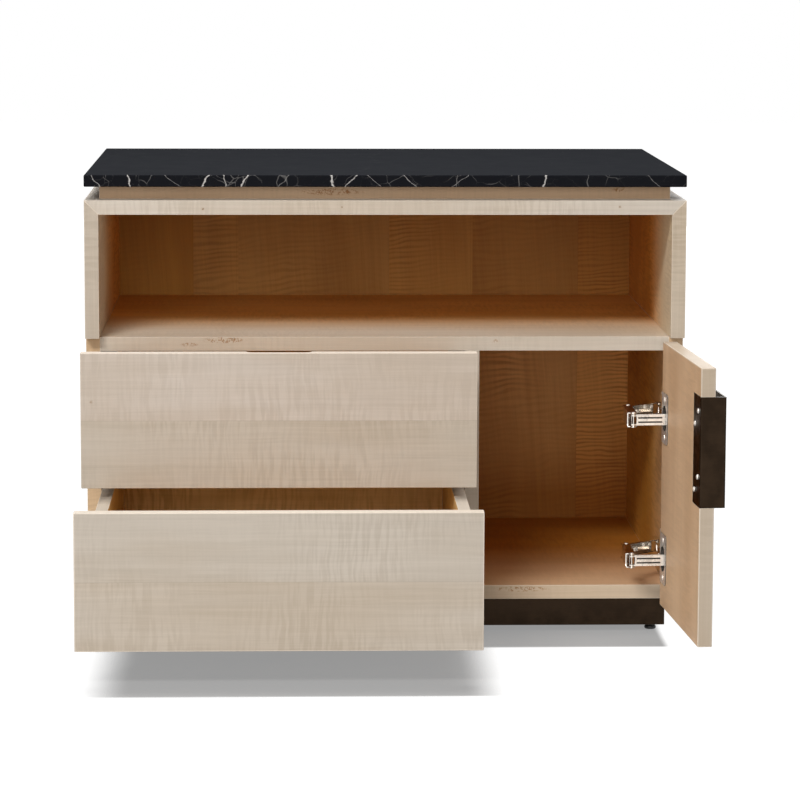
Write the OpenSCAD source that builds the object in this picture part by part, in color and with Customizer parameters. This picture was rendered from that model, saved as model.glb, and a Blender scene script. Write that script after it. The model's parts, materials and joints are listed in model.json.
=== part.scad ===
// Nightstand with an open niche, two drawers and a small cupboard, in millimetres.
// It is drawn with the upper drawer a little open, the lower drawer well open and the door open.
// X runs to the right as seen from the front, Y runs to the back and Z runs up from the floor.

/* [Case] */
// Width over the side panels
case_w = 760; // [700:1:900]
// Depth from the front edge of the upper case to the back
case_d = 540; // [530:1:620]
// Thickness of the boards of the case
board_t = 18; // [16:0.5:20]
// Clear height of the open niche
niche_h = 157; // [120:1:220]
// Clear height of the space behind the fronts
bay_h = 304; // [290:1:360]
// Clear width of the drawer bay
drawer_bay_w = 464; // [400:1:500]
// Thickness of the back panel
back_t = 8; // [5:0.5:10]
// How far the back panel reaches into the side panels and the top
back_grip = 8; // [4:0.5:12]
// Diameter of the wooden dowels between the boards
dowel_d = 8; // [6:1:10]
// Length of the wooden dowels
dowel_l = 28; // [20:1:34]

/* [Top] */
// Thickness of the marble slab
marble_t = 15; // [12:0.5:20]
// Width of the eased edge of the marble
marble_edge = 1; // [0.5:0.1:2]
// Height of the riser between the case and the marble
riser_h = 17; // [12:0.5:25]
// Thickness of the riser's rails
riser_t = 18; // [12:0.5:25]
// How far the riser stands in from the sides and the back
riser_side_in = 18; // [10:1:40]
// How far the riser stands in from the front
riser_front_in = 28; // [15:1:50]

/* [Plinth] */
// Height of the plinth
plinth_h = 38; // [35:1:60]
// Thickness of the plinth's rails
plinth_t = 10; // [8:0.5:12]
// How far the plinth stands in from the lower case
plinth_in = 17; // [10:1:40]
// Leg length of the corner blocks inside the plinth
block_leg = 62; // [50:1:80]

/* [Feet] */
// Height of the part of a foot that shows
foot_h = 9; // [7:0.5:14]
// Diameter of a foot's pad
foot_d = 15; // [13:0.5:22]
// Diameter of a foot's threaded stem
stem_d = 6; // [5:0.5:6.5]
// Length of a foot's threaded stem
stem_l = 24; // [20:1:28]
// Wall of the threaded insert
insert_wall = 1.3; // [1:0.1:1.6]
// Length of the threaded insert
insert_l = 14; // [12:1:18]
// Distance of a foot's centre from the side face of the plinth
foot_in_x = 16; // [15.6:0.1:20]
// Distance of a foot's centre from the front or back face of the plinth
foot_in_y = 22; // [18:0.5:28]

/* [Fronts] */
// Thickness of the drawer fronts and the door
front_t = 18; // [16:0.5:20]
// Gap between the back of the fronts and the case
front_gap = 2.5; // [2.2:0.1:4]
// Gap under the upper case, above the fronts
front_top_gap = 3; // [2:0.1:4]
// How far the fronts reach below the case
front_drop = 1.5; // [0:0.1:3]
// Gap between the two drawer fronts
between_gap = 2.5; // [2:0.1:4]
// Gap between the drawer fronts and the door
seam_gap = 3; // [2.6:0.1:4]
// How far the fronts stay inside the outer faces of the case
side_reveal = 1; // [0.5:0.1:2]
// Width of the eased edges of the fronts
front_edge = 0.8; // [0.4:0.1:1.5]

/* [Drawers] */
// Thickness of the drawer sides and backs
box_t = 15; // [12:0.5:16]
// Length of a drawer box behind its front
box_l = 484; // [440:1:490]
// Gap between a drawer side and the wall of its bay
box_side_gap = 5; // [4:0.1:6]
// Thickness of the drawer bottoms
box_bottom_t = 10; // [6:0.5:12]
// Height of a drawer bottom's underside above the lower edge of the sides
bottom_up = 13; // [12:0.5:15]
// Depth of the grooves that hold a drawer bottom
groove_in = 6; // [4:0.5:8]
// Distance from the bottom of the bay up to the lower drawer's sides
lower_box_up = 16; // [15:0.5:22]
// Distance from the top edge of the lower front down to its drawer's sides
lower_box_down = 10.5; // [8:0.5:30]
// Distance from the lower edge of the upper front up to its drawer's sides
upper_box_up = 22; // [20:0.5:26]
// Distance from the top edge of the upper front down to its drawer's sides
upper_box_down = 20; // [18:0.5:40]
// Radius of the finger scoop in the top edge of the upper front
scoop_r = 10; // [8:0.5:12]
// Length of the finger scoop
scoop_l = 82; // [60:1:120]
// Height of the scoop's centre line above the top edge
scoop_up = 2; // [1:0.5:4]

/* [Runners] */
// Length of the rail on the case
case_rail_l = 500; // [450:1:505]
// Length of the middle rail
middle_rail_l = 440; // [400:1:450]
// Length of the rail under the drawer
drawer_rail_l = 470; // [430:1:474]
// Thickness of the rails' steel
rail_t = 1.5; // [1.2:0.1:1.8]
// Distance of the rails' front ends from the front edge of the case
rail_in = 3; // [2:0.5:8]
// Width of the rail on the case
case_rail_w = 40; // [39:0.5:42]
// Depth of the rail on the case below the drawer sides
case_rail_drop = 12; // [11:0.5:13]
// Height of the case rail's wall flange above the drawer sides' lower edge
wall_flange_up = 8; // [4:0.5:12]
// Width of the middle rail
middle_rail_w = 14; // [12:0.5:14]
// Free space between two rails that slide
rail_play = 0.4; // [0.3:0.05:0.5]

/* [Handle] */
// Height of the handle
handle_h = 134; // [110:1:160]
// Distance from the door's top edge down to the handle
handle_down = 35; // [20:1:80]
// Thickness of the handle's metal
handle_t = 2; // [1.5:0.1:3]
// Reach of the flange let into the inside of the door
inner_flange = 46; // [42:1:60]
// Reach of the grip plate outside the door
outer_flange = 66; // [40:1:80]
// How far the grip plate's face stands in front of the door
handle_proud = 13.3; // [10:0.1:16]
// Diameter of the handle screws' heads
handle_screw_d = 6.4; // [5:0.1:7]
// Diameter of the handle screws' shanks
handle_shank_d = 3; // [2.5:0.1:3.5]
// Length of the handle screws below their heads
handle_screw_l = 14; // [10:0.5:16]

/* [Hinges] */
// Distance from the door's top edge down to the middle of the upper hinge
upper_hinge_down = 95; // [60:1:130]
// Distance from the door's lower edge up to the middle of the lower hinge
lower_hinge_up = 63.5; // [55:0.5:90]
// Distance of the door's turning axis in front of the closed door
pivot_front = 10; // [9:0.1:11]
// Diameter of the hinge cup
cup_d = 35; // [34:0.5:36]
// Depth of the hinge cup
cup_depth = 12; // [11:0.1:12.5]
// Distance of the cup's centre from the door's hinge edge
cup_in = 24; // [23:0.5:25]
// Height of the cup's flange
cup_flange_h = 64; // [60:1:68]
// Width of the cup's flange
cup_flange_w = 40; // [38:0.5:42]
// Thickness of the hinge's sheet metal
hinge_t = 1.2; // [1:0.1:1.4]
// Height of the ribbed bar
bar_h = 13.6; // [12:0.2:14]
// Thickness of the ribbed bar
bar_t = 6; // [5:0.2:7]
// Distance of the bar's middle from the door's hinge edge
bar_in = 31.5; // [30.5:0.1:32.5]
// Distance from the door's inner face to the pin at the bar's end
bar_reach = 42; // [40:0.5:44]
// Diameter of the hinge pins
hinge_pin_d = 3; // [2.6:0.1:3.2]
// Length of the long link between its two pivots
link_l = 71; // [68:0.5:73]
// Height of the long link
link_h = 18.4; // [18:0.2:20]
// Distance of the arm's pin from the side panel
arm_pin_in = 7; // [6.8:0.1:7.4]
// Distance of the arm's pin behind the front face
arm_pin_y = 65.5; // [64:0.5:67]
// Height of the arm on the side panel
arm_h = 10; // [9:0.2:10.4]
// Length of the arm on the side panel
arm_l = 80; // [76:1:90]
// Height of the mounting plate's wings
plate_h = 52; // [44:1:60]

/* [Rest pose] */
// How far the upper drawer is pulled out
upper_out = 126; // [0:1:290]
// How far the lower drawer is pulled out
lower_out = 291; // [280:1:440]
// Angle at which the door stands open
door_open = 93.5; // [92:0.5:95]

/* [Hidden] */
$fn = 48;

maple = [0.80, 0.72, 0.62];
drawer_maple = [0.72, 0.56, 0.40];
bronze = [0.19, 0.15, 0.12];
nickel = [0.75, 0.74, 0.72];
steel = [0.62, 0.63, 0.65];
black_plastic = [0.08, 0.08, 0.08];
marble_colour = [0.17, 0.17, 0.19];

// Heights, from the floor up
bottom_z = foot_h + plinth_h;
bay_z = bottom_z + board_t;
shelf_z = bay_z + bay_h;
niche_z = shelf_z + board_t;
top_z = niche_z + niche_h;
riser_z = top_z + board_t;
marble_z = riser_z + riser_h;

// Places across the case
half_w = case_w / 2;
inner_x = half_w - board_t;
divider_x = drawer_bay_w - inner_x;
seam_x = divider_x + board_t / 2;
drawer_x0 = side_reveal - half_w;
drawer_x1 = seam_x - seam_gap / 2;
door_x0 = seam_x + seam_gap / 2;
door_x1 = half_w - side_reveal;

// Places from front to back
front_set = front_t + front_gap;
back_y = case_d - back_t;

// Heights of the fronts
fronts_top = niche_z - front_top_gap;
lower_front_z = bottom_z - front_drop;
drawer_front_h = (fronts_top - lower_front_z - between_gap) / 2;
upper_front_z = fronts_top - drawer_front_h;
lower_box_z = bay_z + lower_box_up;
lower_box_h = lower_front_z + drawer_front_h - lower_box_down - lower_box_z;
upper_box_z = upper_front_z + upper_box_up;
upper_box_h = fronts_top - upper_box_down - upper_box_z;

// Heights of what is on the door
handle_z = fronts_top - handle_down - handle_h;
upper_hinge_z = fronts_top - upper_hinge_down;
lower_hinge_z = lower_front_z + lower_hinge_up;

// The door's turning axis and the hinge pivots, with the door closed and open
pivot = [door_x1, -pivot_front];
bar_end = [door_x1 - bar_in, front_t + bar_reach];
bar_end_open = turned(bar_end);
link_end_open = bar_end_open + [0, link_l];
arm_pin = [inner_x - arm_pin_in, arm_pin_y];
rocker_l = norm(link_end_open - arm_pin);
rocker_angle = atan2(link_end_open[1] - arm_pin[1], link_end_open[0] - arm_pin[0]);

// The origin is under the middle of the whole outline on the floor, with the drawers and the door open
grip_corner = turned([door_x0 + handle_t, handle_t - handle_proud]);
reach_x = grip_corner[0] + handle_t;
origin_x = (reach_x - half_w) / 2;
origin_y = (case_d - lower_out) / 2;

function turned(p, a = door_open) =
  pivot + [
    (p[0] - pivot[0]) * cos(a) - (p[1] - pivot[1]) * sin(a),
    (p[0] - pivot[0]) * sin(a) + (p[1] - pivot[1]) * cos(a)
  ];

module place() {
  translate([-origin_x, -origin_y, 0]) children();
}

module with_door() {
  translate([pivot[0], pivot[1], 0])
    rotate([0, 0, door_open])
      translate([-pivot[0], -pivot[1], 0])
        children();
}

module box_at(x0, x1, y0, y1, z0, z1) {
  translate([x0, y0, z0]) cube([x1 - x0, y1 - y0, z1 - z0]);
}

// A flat outline in X and Z, stretched from y0 to y1
module along_y(y0, y1) {
  translate([0, y1, 0]) rotate([90, 0, 0]) linear_extrude(y1 - y0) children();
}

// A flat outline in Y and Z, stretched from x0 to x1
module along_x(x0, x1) {
  translate([x0, 0, 0]) rotate([90, 0, 90]) linear_extrude(x1 - x0) children();
}

module eased_rect(a0, a1, b0, b1, e) {
  polygon([
    [a0 + e, b0], [a1 - e, b0], [a1, b0 + e], [a1, b1 - e],
    [a1 - e, b1], [a0 + e, b1], [a0, b1 - e], [a0, b0 + e]
  ]);
}

// A board whose twelve edges are eased
module eased_board(x0, x1, y0, y1, z0, z1, e) {
  intersection() {
    translate([0, 0, z0]) linear_extrude(z1 - z0) eased_rect(x0, x1, y0, y1, e);
    along_y(y0, y1) eased_rect(x0, x1, z0, z1, e);
    along_x(x0, x1) eased_rect(y0, y1, z0, z1, e);
  }
}

module rod(p, q, d) {
  v = q - p;
  translate(p)
    rotate([0, acos(v[2] / norm(v)), atan2(v[1], v[0])])
      cylinder(h = norm(v), d = d);
}

// Dowel joints of the case

// Each dowel is a pair of ends, and the same list drills the boards and makes the dowels
dowel_ys = [for (k = [0.12, 0.5, 0.88]) front_set + k * (back_y - front_set)];
half_dowel = dowel_l / 2;
dowel_in = board_t * 2 / 3;
// The upright dowels in the sides stand this far behind the level ones, clear of them
stack_shift = 4 * dowel_d;
cross_dowels = [
  for (s = [-1, 1], z = [bottom_z + board_t / 2, shelf_z + board_t / 2], y = dowel_ys)
    [[s * (inner_x + dowel_in), y, z], [s * (inner_x + dowel_in - dowel_l), y, z]]
];
divider_dowels = [
  for (s = [-1, 1], y = dowel_ys)
    let (z = s < 0 ? bay_z : shelf_z)
    [[seam_x, y, z + s * dowel_in], [seam_x, y, z + s * (dowel_in - dowel_l)]]
];
stack_dowels = [
  for (s = [-1, 1], y = dowel_ys)
    let (x = s * (half_w - board_t / 2), back = y + stack_shift)
    [[x, back, niche_z - half_dowel], [x, back, niche_z + half_dowel]]
];
all_dowels = concat(cross_dowels, divider_dowels, stack_dowels);

module dowel_set(list) {
  for (d = list) rod(d[0], d[1], dowel_d);
}

module case_dowels() {
  color(drawer_maple) dowel_set(all_dowels);
}

// The room for the back panel, cut from the boards that hold it
module back_panel_shape() {
  x = inner_x + back_grip;
  box_at(-x, x, back_y, case_d, bottom_z, top_z + back_grip);
}

module back_panel() {
  color(drawer_maple) back_panel_shape();
}

// The upper case: three boards mitred into an upturned U

module upper_side(s) {
  color(maple)
    difference() {
      along_y(0, case_d)
        polygon([
          [s * half_w, niche_z], [s * inner_x, niche_z],
          [s * inner_x, top_z], [s * half_w, riser_z]
        ]);
      back_panel_shape();
      dowel_set(stack_dowels);
    }
}

module case_top_panel() {
  color(maple)
    difference() {
      along_y(0, case_d)
        polygon([
          [-half_w, riser_z], [-inner_x, top_z],
          [inner_x, top_z], [half_w, riser_z]
        ]);
      back_panel_shape();
    }
}

// The lower case: two sides with the shelf and the bottom between them, and a divider

module lower_side(s) {
  color(maple)
    difference() {
      box_at(min(s * half_w, s * inner_x), max(s * half_w, s * inner_x),
             front_set, case_d, bottom_z, niche_z);
      back_panel_shape();
      dowel_set(cross_dowels);
      dowel_set(stack_dowels);
    }
}

module level_board(z) {
  color(maple)
    difference() {
      box_at(-inner_x, inner_x, front_set, back_y, z, z + board_t);
      dowel_set(cross_dowels);
      dowel_set(divider_dowels);
    }
}

module divider_panel() {
  color(maple)
    difference() {
      box_at(divider_x, divider_x + board_t, front_set, back_y, bay_z, shelf_z);
      dowel_set(divider_dowels);
    }
}

// The top: a frame of rails carries the marble slab

riser_x = half_w - riser_side_in;
riser_back_y = case_d - riser_side_in;

module riser_cross_rail(y) {
  color(maple) box_at(-riser_x, riser_x, y, y + riser_t, riser_z, marble_z);
}

module riser_side_rail(s) {
  x = s * (riser_x - riser_t / 2);
  color(maple)
    box_at(x - riser_t / 2, x + riser_t / 2,
           riser_front_in + riser_t, riser_back_y - riser_t, riser_z, marble_z);
}

module marble_top() {
  color(marble_colour)
    eased_board(-half_w, half_w, 0, case_d, marble_z, marble_z + marble_t, marble_edge);
}

// The plinth: four mitred rails, with a block in each corner

plinth_x = half_w - plinth_in;
plinth_y0 = front_set + plinth_in;
plinth_y1 = case_d - plinth_in;

module plinth_cross_rail(y, s) {
  color(bronze)
    translate([0, 0, foot_h])
      linear_extrude(plinth_h)
        polygon([
          [-plinth_x, y], [plinth_x, y],
          [plinth_x - plinth_t, y + s * plinth_t], [plinth_t - plinth_x, y + s * plinth_t]
        ]);
}

module plinth_side_rail(s) {
  color(bronze)
    translate([0, 0, foot_h])
      linear_extrude(plinth_h)
        polygon([
          [s * plinth_x, plinth_y0], [s * plinth_x, plinth_y1],
          [s * (plinth_x - plinth_t), plinth_y1 - plinth_t],
          [s * (plinth_x - plinth_t), plinth_y0 + plinth_t]
        ]);
}

// The feet stand at the four corners, named by the signs of their sides
corners = [[-1, -1], [1, -1], [-1, 1], [1, 1]];

module at_corner(c) {
  translate([c[0] * plinth_x, c[1] < 0 ? plinth_y0 : plinth_y1, 0])
    mirror([c[0] > 0 ? 1 : 0, 0, 0])
      mirror([0, c[1] > 0 ? 1 : 0, 0])
        children();
}

stem_play = 0.3;
insert_d = stem_d + 2 * stem_play + 2 * insert_wall;
foot_seat_gap = 0.3;

module corner_block() {
  difference() {
    translate([plinth_t, plinth_t, foot_h])
      linear_extrude(plinth_h)
        polygon([[0, 0], [block_leg, 0], [0, block_leg]]);
    translate([foot_in_x, foot_in_y, foot_h - 1]) cylinder(h = insert_l + 1, d = insert_d);
    translate([foot_in_x, foot_in_y, foot_h]) cylinder(h = stem_l + 2, d = stem_d + 2 * stem_play);
  }
}

module plinth_corner_blocks() {
  color(drawer_maple) for (c = corners) at_corner(c) corner_block();
}

module foot_insert() {
  translate([foot_in_x, foot_in_y, foot_h])
    difference() {
      cylinder(h = insert_l, d = insert_d);
      translate([0, 0, -1]) cylinder(h = insert_l + 2, d = stem_d + 2 * stem_play);
    }
}

module foot_inserts() {
  color(steel) for (c = corners) at_corner(c) foot_insert();
}

// A pad with a rounded rim, a hexagon for the spanner and a stem, at its stop under the insert
module levelling_foot() {
  pad_h = foot_h - foot_seat_gap;
  rim = 1;
  translate([foot_in_x, foot_in_y, 0]) {
    rotate_extrude()
      polygon([
        [0, 0], [foot_d / 2 - rim, 0], [foot_d / 2, rim], [foot_d / 2, pad_h * 0.35],
        [foot_d / 2 - 2 * rim, pad_h * 0.6], [0, pad_h * 0.6]
      ]);
    translate([0, 0, pad_h * 0.6]) cylinder(h = pad_h * 0.4, d = foot_d * 0.74, $fn = 6);
    translate([0, 0, pad_h]) cylinder(h = stem_l, d = stem_d);
  }
}

module foot(c) {
  color(black_plastic) at_corner(c) levelling_foot();
}

// The drawers: a front, two grooved sides, a back and a bottom

box_x0 = box_side_gap - inner_x;
box_x1 = divider_x - box_side_gap;
box_y1 = front_t + box_l;

module drawer_bottom_shape(z) {
  box_at(box_x0 + box_t - groove_in, box_x1 - box_t + groove_in,
         front_t - groove_in, box_y1, z + bottom_up, z + bottom_up + box_bottom_t);
}

module drawer_front(z, box_z) {
  color(maple)
    difference() {
      eased_board(drawer_x0, drawer_x1, 0, front_t, z, z + drawer_front_h, front_edge);
      drawer_bottom_shape(box_z);
      children();
    }
}

// A groove with round ends for the fingers, along the back of the top edge
module finger_scoop() {
  half = scoop_l / 2 - scoop_r;
  x = (drawer_x0 + drawer_x1) / 2;
  translate([x, front_t, fronts_top + scoop_up]) {
    rotate([0, 90, 0]) cylinder(h = 2 * half, r = scoop_r, center = true);
    for (s = [-1, 1]) translate([s * half, 0, 0]) sphere(r = scoop_r);
  }
}

module drawer_side(x, z, h) {
  color(drawer_maple)
    difference() {
      box_at(x, x + box_t, front_t, box_y1, z, z + h);
      drawer_bottom_shape(z);
    }
}

module drawer_back(z, h) {
  color(drawer_maple)
    box_at(box_x0 + box_t, box_x1 - box_t, box_y1 - box_t, box_y1,
           z + bottom_up + box_bottom_t, z + h);
}

module drawer_bottom(z) {
  color(drawer_maple) drawer_bottom_shape(z);
}

module pulled(out) {
  translate([0, -out, 0]) children();
}

// The hidden runners: a rail on the case, a middle rail and a rail under the drawer.
// Each profile starts at the wall of the bay, and its zero height is the drawer sides' lower edge.

box_inner = box_side_gap + box_t;
drawer_rail_x0 = box_inner + 1.2;
middle_rail_x0 = drawer_rail_x0 + rail_t + rail_play;
drawer_rail_x1 = middle_rail_x0 + middle_rail_w + rail_play + rail_t;
web_top = rail_t - case_rail_drop;
middle_z0 = web_top + rail_play;
middle_z1 = bottom_up - rail_t - rail_play;
lip_h = 6;
skirt_up = lip_h + rail_play;

module case_rail_profile() {
  translate([0, -case_rail_drop]) square([rail_t, case_rail_drop + wall_flange_up]);
  translate([0, -case_rail_drop]) square([case_rail_w, rail_t]);
  translate([case_rail_w - rail_t, -case_rail_drop]) square([rail_t, lip_h]);
}

module middle_rail_profile() {
  difference() {
    translate([middle_rail_x0, middle_z0]) square([middle_rail_w, middle_z1 - middle_z0]);
    translate([middle_rail_x0 + rail_t, middle_z0 + rail_t])
      square([middle_rail_w, middle_z1 - middle_z0 - 2 * rail_t]);
  }
}

module drawer_rail_profile() {
  skirt_z = skirt_up - case_rail_drop;
  difference() {
    translate([drawer_rail_x0, skirt_z])
      square([drawer_rail_x1 - drawer_rail_x0, bottom_up - skirt_z]);
    translate([drawer_rail_x0 + rail_t, skirt_z - rail_t])
      square([drawer_rail_x1 - drawer_rail_x0 - 2 * rail_t, bottom_up - skirt_z]);
  }
}

// Side -1 is the left wall of the drawer bay and side 1 its right wall
module on_bay_wall(s, z) {
  color(steel)
    translate([s < 0 ? -inner_x : divider_x, 0, z])
      mirror([s > 0 ? 1 : 0, 0, 0])
        children();
}

rail_y = front_set + rail_in;

module case_rail(s, z) {
  on_bay_wall(s, z) along_y(rail_y, rail_y + case_rail_l) case_rail_profile();
}

module middle_rail(s, z, out) {
  pulled(out / 2)
    on_bay_wall(s, z) along_y(rail_y, rail_y + middle_rail_l) middle_rail_profile();
}

module drawer_rail(s, z, out) {
  pulled(out)
    on_bay_wall(s, z) along_y(rail_y, rail_y + drawer_rail_l) drawer_rail_profile();
}

// The door, drawn closed and then turned about its axis

// Places of the handle's screws, from the door's free edge and from the ends of the handle
near_screw_in = 13;
far_screw_in = 34;
screw_end = 18;
screw_step = 18;
handle_screw_places = [
  [near_screw_in, handle_z + handle_h - screw_end],
  [far_screw_in, handle_z + handle_h - screw_end - screw_step],
  [near_screw_in, handle_z + screw_end + screw_step],
  [far_screw_in, handle_z + screw_end]
];

module handle_shanks() {
  for (p = handle_screw_places)
    rod([door_x0 + p[0], front_t - handle_screw_l, p[1]], [door_x0 + p[0], front_t, p[1]],
        handle_shank_d);
}

// The bent sheet in plan: a flange let into the inside of the door, a web over the
// free edge and a grip plate that stands clear of the outside
module handle_profile() {
  for (y = [front_t - handle_t, handle_t - handle_proud])
    translate([handle_t, y])
      circle(r = handle_t);
  translate([0, handle_t - handle_proud])
    square([handle_t, front_t + handle_proud - 2 * handle_t]);
  translate([handle_t, front_t - handle_t]) square([inner_flange - handle_t, handle_t]);
  translate([handle_t, -handle_proud]) square([outer_flange - handle_t, handle_t]);
}

// The bends are full circles, so what they leave inside the door and the grip is cut away
module handle_inside() {
  translate([handle_t, handle_t - handle_proud])
    square([outer_flange, front_t + handle_proud - 2 * handle_t]);
}

module door_handle() {
  color(bronze)
    with_door()
      difference() {
        translate([door_x0, 0, handle_z])
          linear_extrude(handle_h)
            difference() {
              handle_profile();
              handle_inside();
            }
        handle_shanks();
      }
}

module handle_screws() {
  head_h = 1;
  color(nickel)
    with_door() {
      handle_shanks();
      for (p = handle_screw_places)
        rod([door_x0 + p[0], front_t, p[1]], [door_x0 + p[0], front_t + head_h, p[1]],
            handle_screw_d);
    }
}

module door_panel() {
  color(maple)
    with_door()
      difference() {
        eased_board(door_x0, door_x1, 0, front_t, lower_front_z, fronts_top, front_edge);
        box_at(door_x0 - 1, door_x0 + handle_t, -1, front_t + 1, handle_z, handle_z + handle_h);
        box_at(door_x0, door_x0 + inner_flange, front_t - handle_t, front_t + 1,
               handle_z, handle_z + handle_h);
        handle_shanks();
        for (z = [upper_hinge_z, lower_hinge_z])
          rod([door_x1 - cup_in, front_t + 1, z], [door_x1 - cup_in, front_t - cup_depth, z], cup_d);
      }
}

// The hinges. From the middle outwards, in height: the arm's cheeks hold the rocker, the
// ribbed bar of the door ends in an eye, and the long link's cheeks lie outside them all.

pin_play = 0.3;
link_play = 0.4;
eye_r = 4.2;
hub_z = arm_h / 2 + link_play;
rocker_z = link_h / 2 - 2 * hinge_t - link_play;

module at_hinge(z) {
  color(nickel) translate([0, 0, z]) children();
}

module upright(p, z0, z1, d) {
  translate([p[0], p[1], z0]) cylinder(h = z1 - z0, d = d);
}

module hinge_cup(z) {
  x = door_x1 - cup_in;
  corner = 6;
  at_hinge(z)
    with_door()
      difference() {
        union() {
          rod([x, front_t, 0], [x, front_t - cup_depth, 0], cup_d);
          along_y(front_t, front_t + hinge_t)
            union() {
              translate([x - cup_flange_w / 2 + corner, -cup_flange_h / 2])
                square([cup_flange_w - 2 * corner, cup_flange_h]);
              translate([x - cup_flange_w / 2, corner - cup_flange_h / 2])
                square([cup_flange_w, cup_flange_h - 2 * corner]);
              for (a = [-1, 1], b = [-1, 1])
                translate([x + a * (cup_flange_w / 2 - corner), b * (cup_flange_h / 2 - corner)])
                  circle(r = corner);
            }
        }
        rod([x, front_t + hinge_t + 1, 0], [x, front_t - cup_depth + hinge_t, 0],
            cup_d - 2 * hinge_t);
      }
}

module hinge_bar(z) {
  half = bar_h / 2;
  groove = 0.8;
  groove_margin = 4.5;
  groove_y0 = front_t + hinge_t + groove_margin;
  groove_y1 = bar_end[1] - eye_r - groove_margin / 3;
  y0 = front_t - cup_depth + hinge_t;
  lug = 2;
  at_hinge(z)
    with_door()
      difference() {
        union() {
          box_at(bar_end[0] - bar_t / 2, bar_end[0] + bar_t / 2, y0, bar_end[1], -half, half);
          upright(bar_end, -half, half, 2 * eye_r);
        }
        upright(bar_end, -half - 1, half + 1, hinge_pin_d + 2 * pin_play);
        box_at(bar_end[0] - eye_r - 1, bar_end[0] + eye_r + 1,
               bar_end[1] - eye_r * 0.86, bar_end[1] + eye_r * 0.67, lug - half, half - lug);
        for (s = [-1, 1], r = [-1, 1])
          translate([bar_end[0] + s * bar_t / 2, (groove_y0 + groove_y1) / 2, r * half * 0.4])
            cube([2 * groove, groove_y1 - groove_y0, half * 0.3], center = true);
      }
}

// Two cheeks with round ends, a web on the room side and the pin through the bar's eye
module hinge_link(z) {
  half = link_h / 2;
  web_x = 7;
  web_near = 9;
  web_far = 14;
  at_hinge(z)
    translate([bar_end_open[0], bar_end_open[1], 0]) {
      for (s = [-1, 1])
        translate([0, 0, s * (half - hinge_t / 2) - hinge_t / 2])
          linear_extrude(hinge_t)
            union() {
              circle(r = eye_r);
              translate([0, link_l]) circle(r = eye_r);
              translate([-web_x, 0]) square([web_x + eye_r, link_l]);
            }
      box_at(-web_x, hinge_t - web_x, web_near, link_l - web_far, -half, half);
      upright([0, 0], -half, half, hinge_pin_d);
    }
}

// Two flat levers with hubs on the arm's pin, joined by the rod at their free end
module hinge_rocker(z) {
  r = 3.2;
  rod_d = 4;
  at_hinge(z)
    translate([arm_pin[0], arm_pin[1], 0])
      rotate([0, 0, rocker_angle]) {
        difference() {
          for (s = [-1, 1]) {
            translate([0, 0, s * (rocker_z + hinge_t / 2) - hinge_t / 2])
              linear_extrude(hinge_t)
                union() {
                  circle(r = r);
                  translate([rocker_l, 0]) circle(r = r);
                  translate([0, -r]) square([rocker_l, 2 * r]);
                }
            upright([0, 0], min(s * hub_z, s * rocker_z), max(s * hub_z, s * rocker_z), 2 * r);
          }
          upright([0, 0], -link_h / 2, link_h / 2, hinge_pin_d + 2 * pin_play);
        }
        upright([rocker_l, 0], -rocker_z - hinge_t, rocker_z + hinge_t, rod_d);
      }
}

// The plate is screwed to the side panel, and the arm is a channel clipped over it
module hinge_arm(z) {
  half = arm_h / 2;
  plate_t = 2.5;
  plate_front = 22;
  plate_back = 26;
  wing_front = 15;
  wing_back = 1;
  cheek_wall = 1.1;
  arm_in = 3.5;
  web_x = inner_x - plate_t;
  cheek_x = arm_pin[0] - hinge_pin_d / 2 - cheek_wall;
  y0 = front_set + arm_in;
  at_hinge(z) {
    box_at(web_x, inner_x, arm_pin_y - plate_front, arm_pin_y + plate_back, -half, half);
    box_at(web_x, inner_x, arm_pin_y - wing_front, arm_pin_y - wing_back, -plate_h / 2, plate_h / 2);
    box_at(web_x - hinge_t, web_x, y0, y0 + arm_l, -half, half);
    difference() {
      for (s = [-1, 1])
        box_at(cheek_x, web_x - hinge_t, y0, y0 + arm_l,
               s * (half - hinge_t / 2) - hinge_t / 2, s * (half - hinge_t / 2) + hinge_t / 2);
      upright(arm_pin, -half - 1, half + 1, hinge_pin_d);
    }
    upright(arm_pin, -rocker_z - hinge_t, rocker_z + hinge_t, hinge_pin_d);
  }
}

place() marble_top();
place() riser_cross_rail(riser_front_in);  // riser_front_rail
place() riser_cross_rail(riser_back_y - riser_t);  // riser_back_rail
place() riser_side_rail(-1);  // riser_left_rail
place() riser_side_rail(1);  // riser_right_rail
place() case_top_panel();
place() upper_side(-1);  // upper_side_left
place() upper_side(1);  // upper_side_right
place() level_board(shelf_z);  // shelf_panel
place() lower_side(-1);  // lower_side_left
place() lower_side(1);  // lower_side_right
place() level_board(bottom_z);  // bottom_panel
place() divider_panel();
place() back_panel();
place() case_dowels();
place() plinth_cross_rail(plinth_y0, 1);  // plinth_front_rail
place() plinth_cross_rail(plinth_y1, -1);  // plinth_back_rail
place() plinth_side_rail(-1);  // plinth_left_rail
place() plinth_side_rail(1);  // plinth_right_rail
place() plinth_corner_blocks();
place() foot_inserts();
place() foot(corners[0]);  // foot_front_left
place() foot(corners[1]);  // foot_front_right
place() foot(corners[2]);  // foot_back_left
place() foot(corners[3]);  // foot_back_right
place() pulled(upper_out) drawer_front(upper_front_z, upper_box_z) finger_scoop();  // upper_drawer_front
place() pulled(upper_out) drawer_side(box_x0, upper_box_z, upper_box_h);  // upper_drawer_left_side
place() pulled(upper_out) drawer_side(box_x1 - box_t, upper_box_z, upper_box_h);  // upper_drawer_right_side
place() pulled(upper_out) drawer_back(upper_box_z, upper_box_h);  // upper_drawer_back
place() pulled(upper_out) drawer_bottom(upper_box_z);  // upper_drawer_bottom
place() pulled(lower_out) drawer_front(lower_front_z, lower_box_z);  // lower_drawer_front
place() pulled(lower_out) drawer_side(box_x0, lower_box_z, lower_box_h);  // lower_drawer_left_side
place() pulled(lower_out) drawer_side(box_x1 - box_t, lower_box_z, lower_box_h);  // lower_drawer_right_side
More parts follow.
